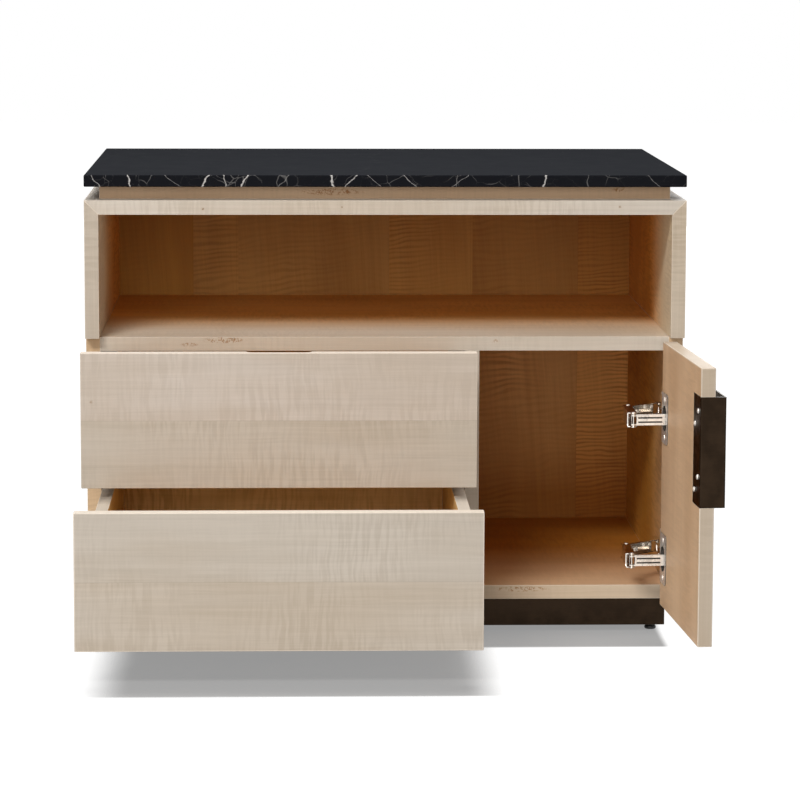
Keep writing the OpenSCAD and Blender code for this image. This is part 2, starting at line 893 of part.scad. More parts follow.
place() pulled(lower_out) drawer_back(lower_box_z, lower_box_h);  // lower_drawer_back
place() pulled(lower_out) drawer_bottom(lower_box_z);  // lower_drawer_bottom
place() case_rail(-1, upper_box_z);  // upper_left_case_rail
place() middle_rail(-1, upper_box_z, upper_out);  // upper_left_middle_rail
place() drawer_rail(-1, upper_box_z, upper_out);  // upper_left_drawer_rail
place() case_rail(1, upper_box_z);  // upper_right_case_rail
place() middle_rail(1, upper_box_z, upper_out);  // upper_right_middle_rail
place() drawer_rail(1, upper_box_z, upper_out);  // upper_right_drawer_rail
place() case_rail(-1, lower_box_z);  // lower_left_case_rail
place() middle_rail(-1, lower_box_z, lower_out);  // lower_left_middle_rail
place() drawer_rail(-1, lower_box_z, lower_out);  // lower_left_drawer_rail
place() case_rail(1, lower_box_z);  // lower_right_case_rail
place() middle_rail(1, lower_box_z, lower_out);  // lower_right_middle_rail
place() drawer_rail(1, lower_box_z, lower_out);  // lower_right_drawer_rail
place() door_panel();
place() door_handle();
place() handle_screws();
place() hinge_cup(upper_hinge_z);  // upper_hinge_cup
place() hinge_bar(upper_hinge_z);  // upper_hinge_bar
place() hinge_link(upper_hinge_z);  // upper_hinge_link
place() hinge_rocker(upper_hinge_z);  // upper_hinge_rocker
place() hinge_arm(upper_hinge_z);  // upper_hinge_arm
place() hinge_cup(lower_hinge_z);  // lower_hinge_cup
place() hinge_bar(lower_hinge_z);  // lower_hinge_bar
place() hinge_link(lower_hinge_z);  // lower_hinge_link
place() hinge_rocker(lower_hinge_z);  // lower_hinge_rocker
place() hinge_arm(lower_hinge_z);  // lower_hinge_arm
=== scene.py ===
"""Looks of a maple nightstand with a black marble top, two drawers and a cupboard.

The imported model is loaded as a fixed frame. Boards get eased arrises and figured maple, the slab
gets veins, the plinth and the handle a dark bronze, and the hinges bright nickel and their screws.
"""

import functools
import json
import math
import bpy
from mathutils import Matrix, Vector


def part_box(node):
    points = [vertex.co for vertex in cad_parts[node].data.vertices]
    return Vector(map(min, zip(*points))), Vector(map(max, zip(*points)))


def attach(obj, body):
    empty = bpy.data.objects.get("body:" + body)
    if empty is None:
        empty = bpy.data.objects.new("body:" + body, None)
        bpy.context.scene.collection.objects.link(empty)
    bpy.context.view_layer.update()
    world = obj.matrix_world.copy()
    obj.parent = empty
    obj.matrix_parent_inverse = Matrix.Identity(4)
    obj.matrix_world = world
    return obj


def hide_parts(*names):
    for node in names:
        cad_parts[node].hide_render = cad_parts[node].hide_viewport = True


bl_info = {
    "name": "Nightstand looks",
    "version": (1, 0, 0),
    "blender": (4, 5, 0),
    "location": "3D View > Sidebar > Nightstand",
    "description": "Dresses the packed nightstand in maple, marble, bronze and nickel",
    "category": "Object",
}

from types import SimpleNamespace

import bmesh
import bpy
from bpy.props import FloatProperty, FloatVectorProperty, PointerProperty
from mathutils import Matrix, Vector

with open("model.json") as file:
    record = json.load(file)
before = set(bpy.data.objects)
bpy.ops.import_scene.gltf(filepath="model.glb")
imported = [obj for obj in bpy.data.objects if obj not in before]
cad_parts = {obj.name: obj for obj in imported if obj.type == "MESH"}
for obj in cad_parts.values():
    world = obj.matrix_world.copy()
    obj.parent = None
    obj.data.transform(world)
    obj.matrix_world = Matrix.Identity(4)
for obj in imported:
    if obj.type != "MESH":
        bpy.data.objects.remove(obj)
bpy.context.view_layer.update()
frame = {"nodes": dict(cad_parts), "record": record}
cad = frame["nodes"]
body_of_node = {
    node: body for body, members in frame["record"]["behaviour"]["bodies"].items() for node in members
}
slot_of_node = {row["node"]: row["material_slot"] for row in frame["record"]["subparts"]}

MM = 0.001
UP = Vector((0, 0, 1))
FRONT = Vector((0, -1, 0))
LEFT = Vector((-1, 0, 0))


# Settings that a user would change


class MapleSettings(bpy.types.PropertyGroup):
    """Colours and figure of the maple."""

    pale: FloatVectorProperty(
        name="Pale", description="Maple outside, where it is palest",
        subtype="COLOR", size=3, min=0, max=1, default=(0.555, 0.495, 0.425),
    )
    warm: FloatVectorProperty(
        name="Warm", description="Maple outside, in its warmer clouds",
        subtype="COLOR", size=3, min=0, max=1, default=(0.505, 0.430, 0.345),
    )
    # The two inside colours are painted shade, darker and warmer than the pale maple. The faces inside the
    # case and the drawers are painted with them, more so farther in.
    painted_shade: FloatVectorProperty(
        name="Amber", description="Oiled maple on the inside of the case and the drawers",
        subtype="COLOR", size=3, min=0, max=1, default=(0.74, 0.375, 0.100),
    )
    painted_shade_deep: FloatVectorProperty(
        name="Deep amber", description="The inside maple in its darker clouds",
        subtype="COLOR", size=3, min=0, max=1, default=(0.60, 0.275, 0.060),
    )
    ease: FloatProperty(
        name="Eased arris", description="Width of the eased edges of the boards",
        unit="LENGTH", min=0.0001, max=0.002, default=0.0005,
    )


class MarbleSettings(bpy.types.PropertyGroup):
    """Colours of the marble slab."""

    ground: FloatVectorProperty(
        name="Ground", description="The black stone",
        subtype="COLOR", size=3, min=0, max=1, default=(0.0095, 0.010, 0.0125),
    )
    # Painted highlight: the upper face is painted paler than the ground, where it takes the light
    polished: FloatVectorProperty(
        name="Polished ground", description="The stone on the upper face, where it takes the light",
        subtype="COLOR", size=3, min=0, max=1, default=(0.022, 0.0235, 0.0275),
    )
    vein: FloatVectorProperty(
        name="Veins", description="The pale veins",
        subtype="COLOR", size=3, min=0, max=1, default=(0.62, 0.60, 0.58),
    )


class MetalSettings(bpy.types.PropertyGroup):
    """Colours of the metals and the plastic."""

    bronze: FloatVectorProperty(
        name="Bronze", description="Dark finish of the handle and the plinth",
        subtype="COLOR", size=3, min=0, max=1, default=(0.021, 0.0135, 0.0085),
    )
    nickel: FloatVectorProperty(
        name="Nickel", description="Bright plating of the hinges",
        subtype="COLOR", size=3, min=0, max=1, default=(0.74, 0.70, 0.65),
    )
    steel: FloatVectorProperty(
        name="Steel", description="Galvanised runners and inserts",
        subtype="COLOR", size=3, min=0, max=1, default=(0.50, 0.51, 0.53),
    )
    plastic: FloatVectorProperty(
        name="Plastic", description="Black feet",
        subtype="COLOR", size=3, min=0, max=1, default=(0.012, 0.012, 0.012),
    )


class StudioSettings(bpy.types.PropertyGroup):
    """Light and camera of the picture."""

    top_light: FloatProperty(
        name="Top light", description="Power of the soft light overhead",
        unit="POWER", min=0, max=500, default=35,
    )
    slant_light: FloatProperty(
        name="Slanting light", description="Power of the soft light from above the camera",
        unit="POWER", min=0, max=500, default=110,
    )
    front_light: FloatProperty(
        name="Front light", description="Power of the soft low light beside the camera",
        unit="POWER", min=0, max=500, default=150,
    )
    back_light: FloatProperty(
        name="Back light", description="Power of the soft low light behind the object",
        unit="POWER", min=0, max=500, default=110,
    )
    ambient: FloatProperty(
        name="Ambient", description="Strength of the light from all around",
        min=0, max=2, default=0.14,
    )
    lens: FloatProperty(
        name="Lens", description="Focal length of the camera in millimetres",
        min=20, max=300, default=152.39,
    )


# Node trees

WHITE = (1, 1, 1, 1)
# Depth of the relief that every finish has
RELIEF = 0.2 * MM


def starts(low, high, joints):
    """Where each stretch between the joints starts, as a share of the whole."""
    return [0.0] + [(joint - low) / (high - low) for joint in joints]


def rgba(colour):
    return (*colour, 1.0)


class Bench:
    """A node tree under work, with a short call for each kind of node that the finishes use.

    Scales are cells per metre: one number for all directions, or one for each of the vector's parts.
    """

    def __init__(self, tree):
        self.tree = tree

    def plug(self, socket, value):
        """Links the socket to a value that comes from a node, and sets it to any other."""
        if isinstance(value, bpy.types.NodeSocket):
            self.tree.links.new(value, socket)
        elif value is not None:
            socket.default_value = value

    def fill(self, node, **inputs):
        """Plugs inputs by their names, which have _ for each space."""
        for name, value in inputs.items():
            self.plug(node.inputs[name.replace("_", " ")], value)
        return node

    def node(self, kind, settings=None, **inputs):
        made = self.tree.nodes.new(kind)
        for name, value in (settings or {}).items():
            setattr(made, name, value)
        return self.fill(made, **inputs)

    def group(self, tree, **inputs):
        return self.node("ShaderNodeGroup", {"node_tree": tree}, **inputs).outputs

    def math(self, operation, a, b=None, clamp=False):
        made = self.node("ShaderNodeMath", {"operation": operation, "use_clamp": clamp})
        self.plug(made.inputs[0], a)
        self.plug(made.inputs[1], b)
        return made.outputs[0]

    def plus(self, a, b, clamp=False):
        return self.math("ADD", a, b, clamp)

    def minus(self, a, b):
        return self.math("SUBTRACT", a, b)

    def times(self, a, b):
        return self.math("MULTIPLY", a, b)

    def over(self, a, b):
        return self.math("DIVIDE", a, b)

    def vector(self, operation, a, b):
        made = self.node("ShaderNodeVectorMath", {"operation": operation})
        self.plug(made.inputs[0], a)
        self.plug(made.inputs[1], (b,) * 3 if isinstance(b, float) else b)
        return made.outputs[0]

    def shift(self, vector, amounts):
        return self.vector("ADD", vector, amounts)

    def stretch(self, vector, amounts):
        return self.vector("MULTIPLY", vector, amounts)

    def parts(self, vector):
        return self.node("ShaderNodeSeparateXYZ", Vector=vector).outputs

    def noise(self, vector, scale, detail=2.0, roughness=0.5, colour=False):
        place = self.stretch(vector, scale) if scale else vector
        made = self.node("ShaderNodeTexNoise", Vector=place, Scale=1.0, Detail=detail, Roughness=roughness)
        return made.outputs[1 if colour else 0]

    def bend(self, vector, scale, reach, detail=2.0, roughness=0.5):
        """The vector, moved about by noise, by up to half of reach each way."""
        noise = self.noise(vector, scale, detail, roughness, colour=True)
        return self.shift(vector, self.stretch(self.shift(noise, -0.5), reach))

    def cells(self, vector, scale):
        """How far a point is from the nearest edge of its cell."""
        place = self.stretch(vector, scale)
        return self.node(
            "ShaderNodeTexVoronoi", {"feature": "DISTANCE_TO_EDGE"}, Vector=place, Scale=1.0
        ).outputs["Distance"]

    def line(self, distance, width):
        """1 on a line, and down to 0 at its width away from it."""
        return self.math("SUBTRACT", 1.0, self.over(distance, width), clamp=True)

    def between(self, value, low, high, to_low=0.0, to_high=1.0, smooth=True):
        """Value, mapped from low and high to to_low and to_high, and held there."""
        return self.node(
            "ShaderNodeMapRange", {"interpolation_type": "SMOOTHSTEP" if smooth else "LINEAR"},
            Value=value, From_Min=low, From_Max=high, To_Min=to_low, To_Max=to_high,
        ).outputs[0]

    def mix(self, factor, a, b, blend="MIX"):
        made = self.node("ShaderNodeMix", {"data_type": "RGBA", "blend_type": blend})
        for place, value in ((0, factor), (6, a), (7, b)):
            self.plug(made.inputs[place], value)
        return made.outputs[2]

    def tint(self, colour, by):
        return self.mix(1.0, colour, by, "MULTIPLY")

    def steps(self, value, low, high, joints, colours):
        """A colour for each stretch between the joints, with hard edges."""
        made = self.node("ShaderNodeValToRGB", Fac=self.between(value, low, high, smooth=False))
        ramp = made.color_ramp
        ramp.interpolation = "CONSTANT"
        while len(ramp.elements) < len(joints) + 1:
            ramp.elements.new(0.5)
        for element, start, colour in zip(ramp.elements, starts(low, high, joints), colours):
            element.position = start
            element.color = rgba(colour)
        return made.outputs[0]

    def attribute(self, name):
        return self.node("ShaderNodeAttribute", {"attribute_name": name}).outputs["Fac"]

    def on_object(self, turn=(0, 0, 0), move=(0, 0, 0)):
        """The Object coordinates as they are, and turned and moved."""
        raw = self.node("ShaderNodeTexCoord").outputs["Object"]
        return raw, self.node("ShaderNodeMapping", Vector=raw, Rotation=turn, Location=move).outputs[0]

    def bump(self, height, strength):
        return self.node("ShaderNodeBump", Height=height, Strength=strength, Distance=RELIEF).outputs[0]


def node_group(name, inputs, outputs, kind_of_tree="ShaderNodeTree"):
    """Turns a function that draws a node group into one that returns the group and draws it only once.

    Inputs are rows of label, kind of socket and default, and outputs rows of label and kind.
    """

    def wrap(draw):
        @functools.wraps(draw)
        def find_or_draw():
            if name not in bpy.data.node_groups:
                tree = bpy.data.node_groups.new(name, kind_of_tree)
                new_socket = tree.interface.new_socket
                for label, kind, default in inputs:
                    socket = new_socket(name=label, in_out="INPUT", socket_type="NodeSocket" + kind)
                    if default is not None:
                        socket.default_value = default
                for label, kind in outputs:
                    new_socket(name=label, in_out="OUTPUT", socket_type="NodeSocket" + kind)
                start = tree.nodes.new("NodeGroupInput")
                end = tree.nodes.new("NodeGroupOutput")
                draw(Bench(tree), start.outputs, end.inputs)
            return bpy.data.node_groups[name]
        return find_or_draw
    return wrap


@node_group(
    "Maple figure",
    [
        ("Vector", "Vector", None),
        ("Light", "Color", (0.6, 0.5, 0.4, 1)),
        ("Dark", "Color", (0.5, 0.4, 0.3, 1)),
        ("Curl", "Float", 0.3),
        ("Curl pitch", "Float", 0.006),
        ("Curl length", "Float", 0.04),
        ("Regular", "Float", 0.0),
        ("Fibre", "Float", 0.3),
    ],
    [("Colour", "Color"), ("Height", "Float"), ("Roughness", "Float")],
)
def maple_group(bench, given, out):
    """Figured maple. Its vector is in metres, with X along the fibres."""
    place = given["Vector"]
    bent = bench.bend(place, (9.0, 14.0, 14.0), (0.012, 0.006, 0.006))
    clouds = bench.noise(place, (2.2, 9.0, 9.0), 3.0, 0.55)
    streaks = bench.noise(bent, (3.0, 210.0, 210.0), 4.0, 0.62)
    lines = bench.noise(bent, (9.0, 780.0, 780.0), 2.0, 0.6)
    parts = bench.parts(bent)
    along = bench.over(parts["X"], given["Curl pitch"])
    across = {axis: bench.over(parts[axis], given["Curl length"]) for axis in "YZ"}
    curl_place = bench.node("ShaderNodeCombineXYZ", X=along, **across).outputs[0]
    rolls = bench.between(bench.noise(curl_place, None, 1.0, 0.55), 0.34, 0.62)
    wander = bench.times(bench.noise(place, (26.0, 11.0, 11.0)), 3.4)
    turns = bench.times(bench.plus(along, wander), 2 * math.pi)
    waves = bench.between(bench.math("SINE", turns), -0.9, 0.5)
    curl = bench.plus(rolls, bench.times(bench.minus(waves, rolls), given["Regular"]))
    patch = bench.between(bench.noise(place, (6.0, 10.0, 10.0)), 0.34, 0.66)
    curl = bench.times(bench.minus(curl, 0.5), bench.plus(patch, 0.25))
    grain = bench.plus(bench.between(streaks, 0.25, 0.75, -0.5, 0.5, False),
                       bench.between(lines, 0.25, 0.75, -0.22, 0.22, False))
    shade = bench.plus(bench.times(curl, given["Curl"]), bench.times(grain, given["Fibre"]))
    tone = bench.plus(bench.between(clouds, 0.32, 0.68), shade, clamp=True)
    value = bench.plus(1.0, bench.times(shade, 0.35))
    grey = bench.node("ShaderNodeCombineColor", Red=value, Green=value, Blue=value).outputs[0]
    bench.plug(out["Colour"], bench.tint(bench.mix(tone, given["Dark"], given["Light"]), grey))
    bench.plug(out["Height"], bench.plus(bench.times(grain, 0.5), curl))
    bench.plug(out["Roughness"], bench.between(streaks, 0.2, 0.8, 0.40, 0.54, False))


@node_group(
    "Marble veins",
    [
        ("Vector", "Vector", None),
        ("Ground", "Color", (0.01, 0.01, 0.015, 1)),
        ("Vein", "Color", (0.6, 0.6, 0.6, 1)),
        ("Strength", "Float", 1.0),
        ("Strokes", "Float", 0.0),
    ],
    [("Colour", "Color"), ("Roughness", "Float")],
)
def vein_group(bench, given, out):
    """Pale veins of a black marble: a few clear ones that stand across the slab, and fine threads."""
    place = given["Vector"]
    bent = bench.bend(place, 16.0, 0.045, 3.0, 0.55)
    width = bench.between(bench.noise(place, (12.0, 3.0, 6.0)), 0.50, 0.66, 0.0005, 0.016)
    thin = bench.between(bench.noise(place, 24.0), 0.48, 0.70, 0.001, 0.035)
    veins = bench.line(bench.cells(bent, (15.0, 4.0, 9.0)), width)
    threads = bench.line(bench.cells(bent, (44.0, 22.0, 50.0)), thin)
    mask = bench.math("MAXIMUM", bench.times(veins, 0.24), bench.times(threads, 0.17))
    mask = bench.times(bench.math("MAXIMUM", mask, given["Strokes"]), given["Strength"])
    cloud = bench.noise(place, 30.0, 5.0, 0.7)
    lighter = bench.tint(given["Ground"], (1.12, 1.12, 1.10, 1))
    ground = bench.mix(bench.between(cloud, 0.3, 0.7), given["Ground"], lighter)
    bench.plug(out["Colour"], bench.mix(mask, ground, given["Vein"]))
    bench.plug(out["Roughness"], bench.between(cloud, 0.3, 0.7, 0.30, 0.38, False))


@node_group(
    "Marble stroke",
    [
        ("Vector", "Vector", None),
        ("Centre", "Vector", (0, 0, 0)),
        ("Slant", "Float", 0.0),
        ("Width", "Float", 0.001),
        ("Strength", "Float", 1.0),
    ],
    [("Mask", "Float")],
)
def stroke_group(bench, given, out):
    """A clear vein that crosses the slab's front edge at its place with its own slant and width."""
    place = given["Vector"]
    parts = bench.parts(bench.vector("SUBTRACT", place, given["Centre"]))
    wander = bench.noise(place, (60.0, 14.0, 120.0), 1.0)
    wander = bench.between(wander, 0.3, 0.7, -1.8 * MM, 1.8 * MM, False)
    aside = bench.minus(parts["X"], bench.times(parts["Z"], given["Slant"]))
    aside = bench.math("ABSOLUTE", bench.plus(aside, wander))
    swell = bench.between(bench.noise(place, (300.0, 40.0, 400.0)), 0.3, 0.7, 0.5, 1.4)
    mask = bench.line(aside, bench.times(given["Width"], swell))
    mask = bench.times(mask, bench.between(parts["Y"], 2 * MM, 14 * MM, 1.0, 0.0))
    bench.plug(out["Mask"], bench.times(mask, given["Strength"]))


@node_group(
    "Pin knot",
    [
        ("Vector", "Vector", None),
        ("Centre", "Vector", (0, 0, 0)),
        ("Radius", "Float", 0.001),
        ("Colour", "Color", (0.5, 0.5, 0.5, 1)),
    ],
    [("Colour", "Color")],
)
def knot_group(bench, given, out):
    """A pin knot: a small dark eye with a brown ring of grain round it."""
    off = bench.vector("SUBTRACT", given["Vector"], given["Centre"])
    length = bench.node("ShaderNodeVectorMath", {"operation": "LENGTH"}, Vector=off).outputs["Value"]
    wobble = bench.between(bench.noise(given["Vector"], 700.0), 0.3, 0.7, -0.5, 0.5)
    far = bench.plus(bench.over(length, given["Radius"]), wobble)
    eye = bench.between(far, 0.5, 1.1, 1.0, 0.0)
    ring = bench.between(far, 1.2, 3.4, 0.45, 0.0)
    dark = bench.tint(given["Colour"], (0.26, 0.15, 0.09, 1))
    brown = bench.tint(given["Colour"], (0.72, 0.60, 0.48, 1))
    bench.plug(out["Colour"], bench.mix(eye, bench.mix(ring, given["Colour"], brown), dark))


@node_group(
    "Bark flecks",
    [
        ("Vector", "Vector", None),
        ("Centre", "Vector", (0, 0, 0)),
        ("Half length", "Float", 0.03),
        ("Half height", "Float", 0.004),
        ("Colour", "Color", (0.5, 0.5, 0.5, 1)),
    ],
    [("Colour", "Color")],
)
def bark_group(bench, given, out):
    """A patch of small curled bark flecks in the grain."""
    place = given["Vector"]
    parts = bench.parts(bench.vector("SUBTRACT", place, given["Centre"]))
    along = bench.over(parts["X"], given["Half length"])
    up = bench.over(parts["Z"], given["Half height"])
    far = bench.math("SQRT", bench.plus(bench.times(along, along), bench.times(up, up)))
    curls = bench.cells(bench.bend(place, 260.0, 0.006, 3.0), (300.0, 60.0, 330.0))
    line = bench.between(curls, 0.05, 0.16, 1.0, 0.0)
    some = bench.between(bench.noise(place, (190.0, 60.0, 260.0)), 0.42, 0.54)
    mask = bench.times(bench.times(line, some), bench.between(far, 0.55, 1.05, 1.0, 0.0))
    dark = bench.tint(given["Colour"], (0.60, 0.40, 0.25, 1))
    bench.plug(out["Colour"], bench.mix(mask, given["Colour"], dark))


@node_group(
    "Rubbed surface",
    [
        ("Vector", "Vector", None),
        ("Colour", "Color", (0.1, 0.1, 0.1, 1)),
        ("Rubbed", "Color", (0.2, 0.2, 0.2, 1)),
        ("Arris", "Float", 0.0),
        ("Groove", "Float", 0.0),
        ("Brush", "Float", 0.3),
        ("Smooth", "Float", 0.3),
        ("Rough", "Float", 0.5),
    ],
    [("Colour", "Color"), ("Roughness", "Float"), ("Height", "Float")],
)
def wear_group(bench, given, out):
    """Fine mottling, brush marks, rubbed arrises and painted shade in the grooves of a metal or plastic
    surface.
    """
    mottle = bench.noise(given["Vector"], 45.0, 5.0, 0.65)
    brush = bench.noise(given["Vector"], (60.0, 60.0, 1400.0))
    marks = bench.times(bench.between(brush, 0.3, 0.7, -0.5, 0.5), given["Brush"])
    tone = bench.plus(bench.between(mottle, 0.35, 0.7), marks, clamp=True)
    lighter = bench.tint(given["Colour"], (1.35, 1.33, 1.30, 1))
    colour = bench.mix(given["Arris"], bench.mix(tone, given["Colour"], lighter), given["Rubbed"])
    # Painted shade in the grooves
    painted_groove_shade = bench.tint(given["Colour"], (0.06, 0.055, 0.05, 1))
    bench.plug(out["Colour"], bench.mix(given["Groove"], colour, painted_groove_shade))
    spread = bench.minus(given["Rough"], given["Smooth"])
    bench.plug(out["Roughness"], bench.plus(bench.times(tone, spread), given["Smooth"]))
    bench.plug(out["Height"], bench.plus(bench.times(mottle, 0.4), marks))


def new_material(name, **shader):
    """A material with a Principled shader. Returns it, its bench and the shader."""
    material = bpy.data.materials.new(name)
    material.use_nodes = True
    bench = Bench(material.node_tree)
    return material, bench, bench.fill(material.node_tree.nodes["Principled BSDF"], **shader)


# Maple

FIBRES = {"X": (0, 0, 0), "Y": (0, 0, -math.pi / 2), "Z": (0, math.pi / 2, 0)}
# How far apart in the wood boards with neighbouring seeds are cut, and pieces whose tints differ by 1
SEED_STEP = (0.37, 0.71, 0.53)
PIECE_STEP = (3.1, 4.7, 5.9)
# From one roll of the curl to the next
CURL_PITCH = 0.004
# The inside colour shows the curl more strongly
INNER_CURL = 2.0
GRAIN_RELIEF = 0.25
# The colour of a glue line, and how it fades: from this far beside the joint to this, from 0.14 to none
GLUE_LINE = (0.2, 0.14, 0.1, 1)
GLUE_FADE = (0.2 * MM, 0.7 * MM, 0.14, 0.0)
# Eased arrises carry a painted highlight: how much of the paler colour they show, and how much paler it is
# than the pale maple
ARRIS_HIGHLIGHT = 0.52
ARRIS_HIGHLIGHT_PALER = 1.7
# A depth range in front of everything, for drawers, whose whole inside has the inside colour, the painted
# shade, in full
OPEN = (-2.0, -1.0)
# Painted light: how much paler the pale maple is painted on the faces inside
INSIDE_PAINTED_LIGHT = (1.25, 1.25, 1.25)
# The back panel's outer face
BACK_OUTSIDE = (0.97, 0.94, 0.90, 1)
# A leaf's curl is this even, and its pitch is carried in a colour, enlarged this much
LEAF_REGULAR = 0.7
PITCH_SCALE = 100


def leaf_figure(bench, across, joints, leaves):
    """Strength, pitch and evenness of the curl for each leaf, strongest at the leaf's left edge."""
    low, high, places = joints[1:4]
    figures = [
        (strength, start, pitch * PITCH_SCALE)
        for (strength, pitch), start in zip(leaves, starts(low, high, places))
    ]
    leaf = bench.node(
        "ShaderNodeSeparateColor", Color=bench.steps(across, low, high, places, figures)
    ).outputs
    share = bench.between(across, low, high, smooth=False)
    fade = bench.between(bench.minus(share, leaf["Green"]), 0.03, 0.19, 1.0, 0.22)
    return bench.times(leaf["Red"], fade), bench.times(leaf["Blue"], 1 / PITCH_SCALE), LEAF_REGULAR


def maple(name, fibres, seed, curl=0.2, length=0.04, fibre=0.30, tint=(1.0, 1.0, 1.0), joints=None,
          slope=0.0, depth=(0.06, 0.27), knots=(), bark=(), leaves=None, lift=INSIDE_PAINTED_LIGHT,
          inner=(1.0, 1.0, 1.0), rise=None):
    """Maple for one board. Joints is (axis, low, high, places, tints) of the pieces it is glued up from.

    Depth says how far behind the case's front edge the inside colour, a painted shade, starts and is full.
    Knots are (x, y, z, radius) and patches of bark flecks (x, y, z, half length, half height), from the
    point on the floor under the middle of that edge. Lift tints the pale maple on the inside faces, as
    painted light, and inner tints the painted shade. Rise is (low, high, shelf, tint at low, tint at high)
    of painted light and shade that changes with the height on the inside faces between low and high, and
    stops at the shelf. Leaves give the strength and the pitch of the curl in each of the joined pieces.
    """
    look = bpy.context.scene.maple_look
    material, bench, shader = new_material(name, Specular_IOR_Level=0.10)
    turn = Vector(FIBRES[fibres]) + Vector((0, slope, 0))
    raw, place = bench.on_object(turn, [step * seed for step in SEED_STEP])
    parts = bench.parts(raw)
    inside = bench.attribute("inside")
    tints = rgba(tint)
    pitch, regular, inner_curl = CURL_PITCH, 0.0, curl * INNER_CURL
    if joints:
        axis, low, high, places, shades = joints
        own = bench.steps(parts[axis], low, high, places, shades)
        place = bench.shift(place, bench.stretch(own, PIECE_STEP))
        for joint in places:
            beside = bench.math("ABSOLUTE", bench.minus(parts[axis], joint))
            own = bench.mix(bench.between(beside, *GLUE_FADE), own, GLUE_LINE)
        if leaves:
            tints = bench.mix(inside, BACK_OUTSIDE, tints)
            own = bench.mix(inside, WHITE, own)
            curl, pitch, regular = leaf_figure(bench, parts[axis], joints, leaves)
            inner_curl = bench.times(curl, INNER_CURL)
        tints = bench.tint(own, tints)

    def figured(light, dark, strength):
        return bench.group(
            maple_group(), Vector=place, Light=rgba(light), Dark=rgba(dark), Curl=strength,
            Curl_pitch=pitch, Curl_length=length, Regular=regular, Fibre=fibre,
        )

    outside = figured(look.pale, look.warm, curl)
    # Painted shade: the darker, warmer inside colour for the faces inside
    shaded_maple = figured(look.painted_shade, look.painted_shade_deep, inner_curl)
    # Painted light: the pale maple is painted paler on the inside faces
    pale = bench.tint(outside["Colour"], bench.mix(inside, WHITE, rgba(lift)))
    deep = bench.tint(shaded_maple["Colour"], rgba(inner))
    start = front_middle()
    # Painted light and shade that change with the height on the inside faces
    if rise:
        low, high, shelf, low_tint, high_tint = rise
        change = bench.between(parts["Z"], low, high, smooth=False)
        change = bench.tint(deep, bench.mix(change, rgba(low_tint), rgba(high_tint)))
        deep = bench.mix(bench.between(parts["Z"], shelf - MM, shelf + MM, 1.0, 0.0), deep, change)
    # The inside faces are painted with the shade more fully the farther in they lie
    far_in = bench.between(parts["Y"], start.y + depth[0], start.y + depth[1])
    colour = bench.tint(bench.mix(bench.times(inside, far_in), pale, deep), tints)
    for *centre, radius in knots:
        colour = bench.group(
            knot_group(), Vector=raw, Centre=start + Vector(centre), Radius=radius, Colour=colour
        )["Colour"]
    for *centre, long, high in bark:
        colour = bench.group(
            bark_group(), Vector=raw, Centre=start + Vector(centre), Half_length=long, Half_height=high,
            Colour=colour,
        )["Colour"]
    # Painted highlight: the eased arrises, and the faces marked with them, are painted paler
    rubbed_and_highlight = rgba([min(1.0, part * ARRIS_HIGHLIGHT_PALER) for part in look.pale])
    colour = bench.mix(bench.times(bench.attribute("arris"), ARRIS_HIGHLIGHT), colour, rubbed_and_highlight)
    bench.fill(shader, Base_Color=colour, Roughness=outside["Roughness"],
               Normal=bench.bump(outside["Height"], GRAIN_RELIEF))
    return material


# Marble, metals and plastic

# The clear veins on the slab's front edge: place from the middle of the case, slant, half width, strength
VEIN_STROKES = (
    (-0.3655, -0.9, 0.0009, 0.6), (-0.3230, -0.35, 0.0014, 1.0), (-0.2690, -1.4, 0.0007, 0.45),
    (-0.2277, 0.75, 0.0020, 1.0), (-0.2026, -0.1, 0.0009, 0.7), (-0.1775, 0.65, 0.0014, 1.0),
    (-0.1285, 0.9, 0.0007, 0.5), (-0.0682, -0.25, 0.0017, 1.0), (-0.0443, 0.9, 0.0010, 0.8),
    (-0.0150, -1.2, 0.0006, 0.5), (0.0310, -1.1, 0.0009, 0.6), (0.0930, 1.3, 0.0007, 0.5),
    (0.2003, 0.25, 0.0014, 1.0), (0.3380, -1.0, 0.0006, 0.45),
)
# Where in the stone the slab is cut, and how strongly the veins show on its upper face, under its painted
# highlight
STONE_PLACE = (0.31, 0.17, 0.05)
VEINS_UNDER_HIGHLIGHT = 0.035


def marble(name):
    look = bpy.context.scene.marble_look
    material, bench, shader = new_material(name, Specular_IOR_Level=0.0)
    raw, place = bench.on_object(move=STONE_PLACE)
    upper = bench.attribute("inside")
    strokes = 0.0
    low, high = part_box("marble_top")
    for across, slant, width, strength in VEIN_STROKES:
        centre = Vector((case_middle() + across, low.y, (low.z + high.z) / 2))
        one = bench.group(
            stroke_group(), Vector=raw, Centre=centre, Slant=slant, Width=width, Strength=strength
        )
        strokes = bench.math("MAXIMUM", strokes, one["Mask"])
    # The upper face is painted paler, with fainter veins: a painted highlight
    stone = bench.group(
        vein_group(), Vector=place, Ground=bench.mix(upper, rgba(look.ground), rgba(look.polished)),
        Vein=rgba(look.vein), Strength=bench.between(upper, 0.0, 1.0, 1.0, VEINS_UNDER_HIGHLIGHT, False),
        Strokes=strokes,
    )
    bench.fill(shader, Base_Color=stone["Colour"], Roughness=stone["Roughness"])
    return material


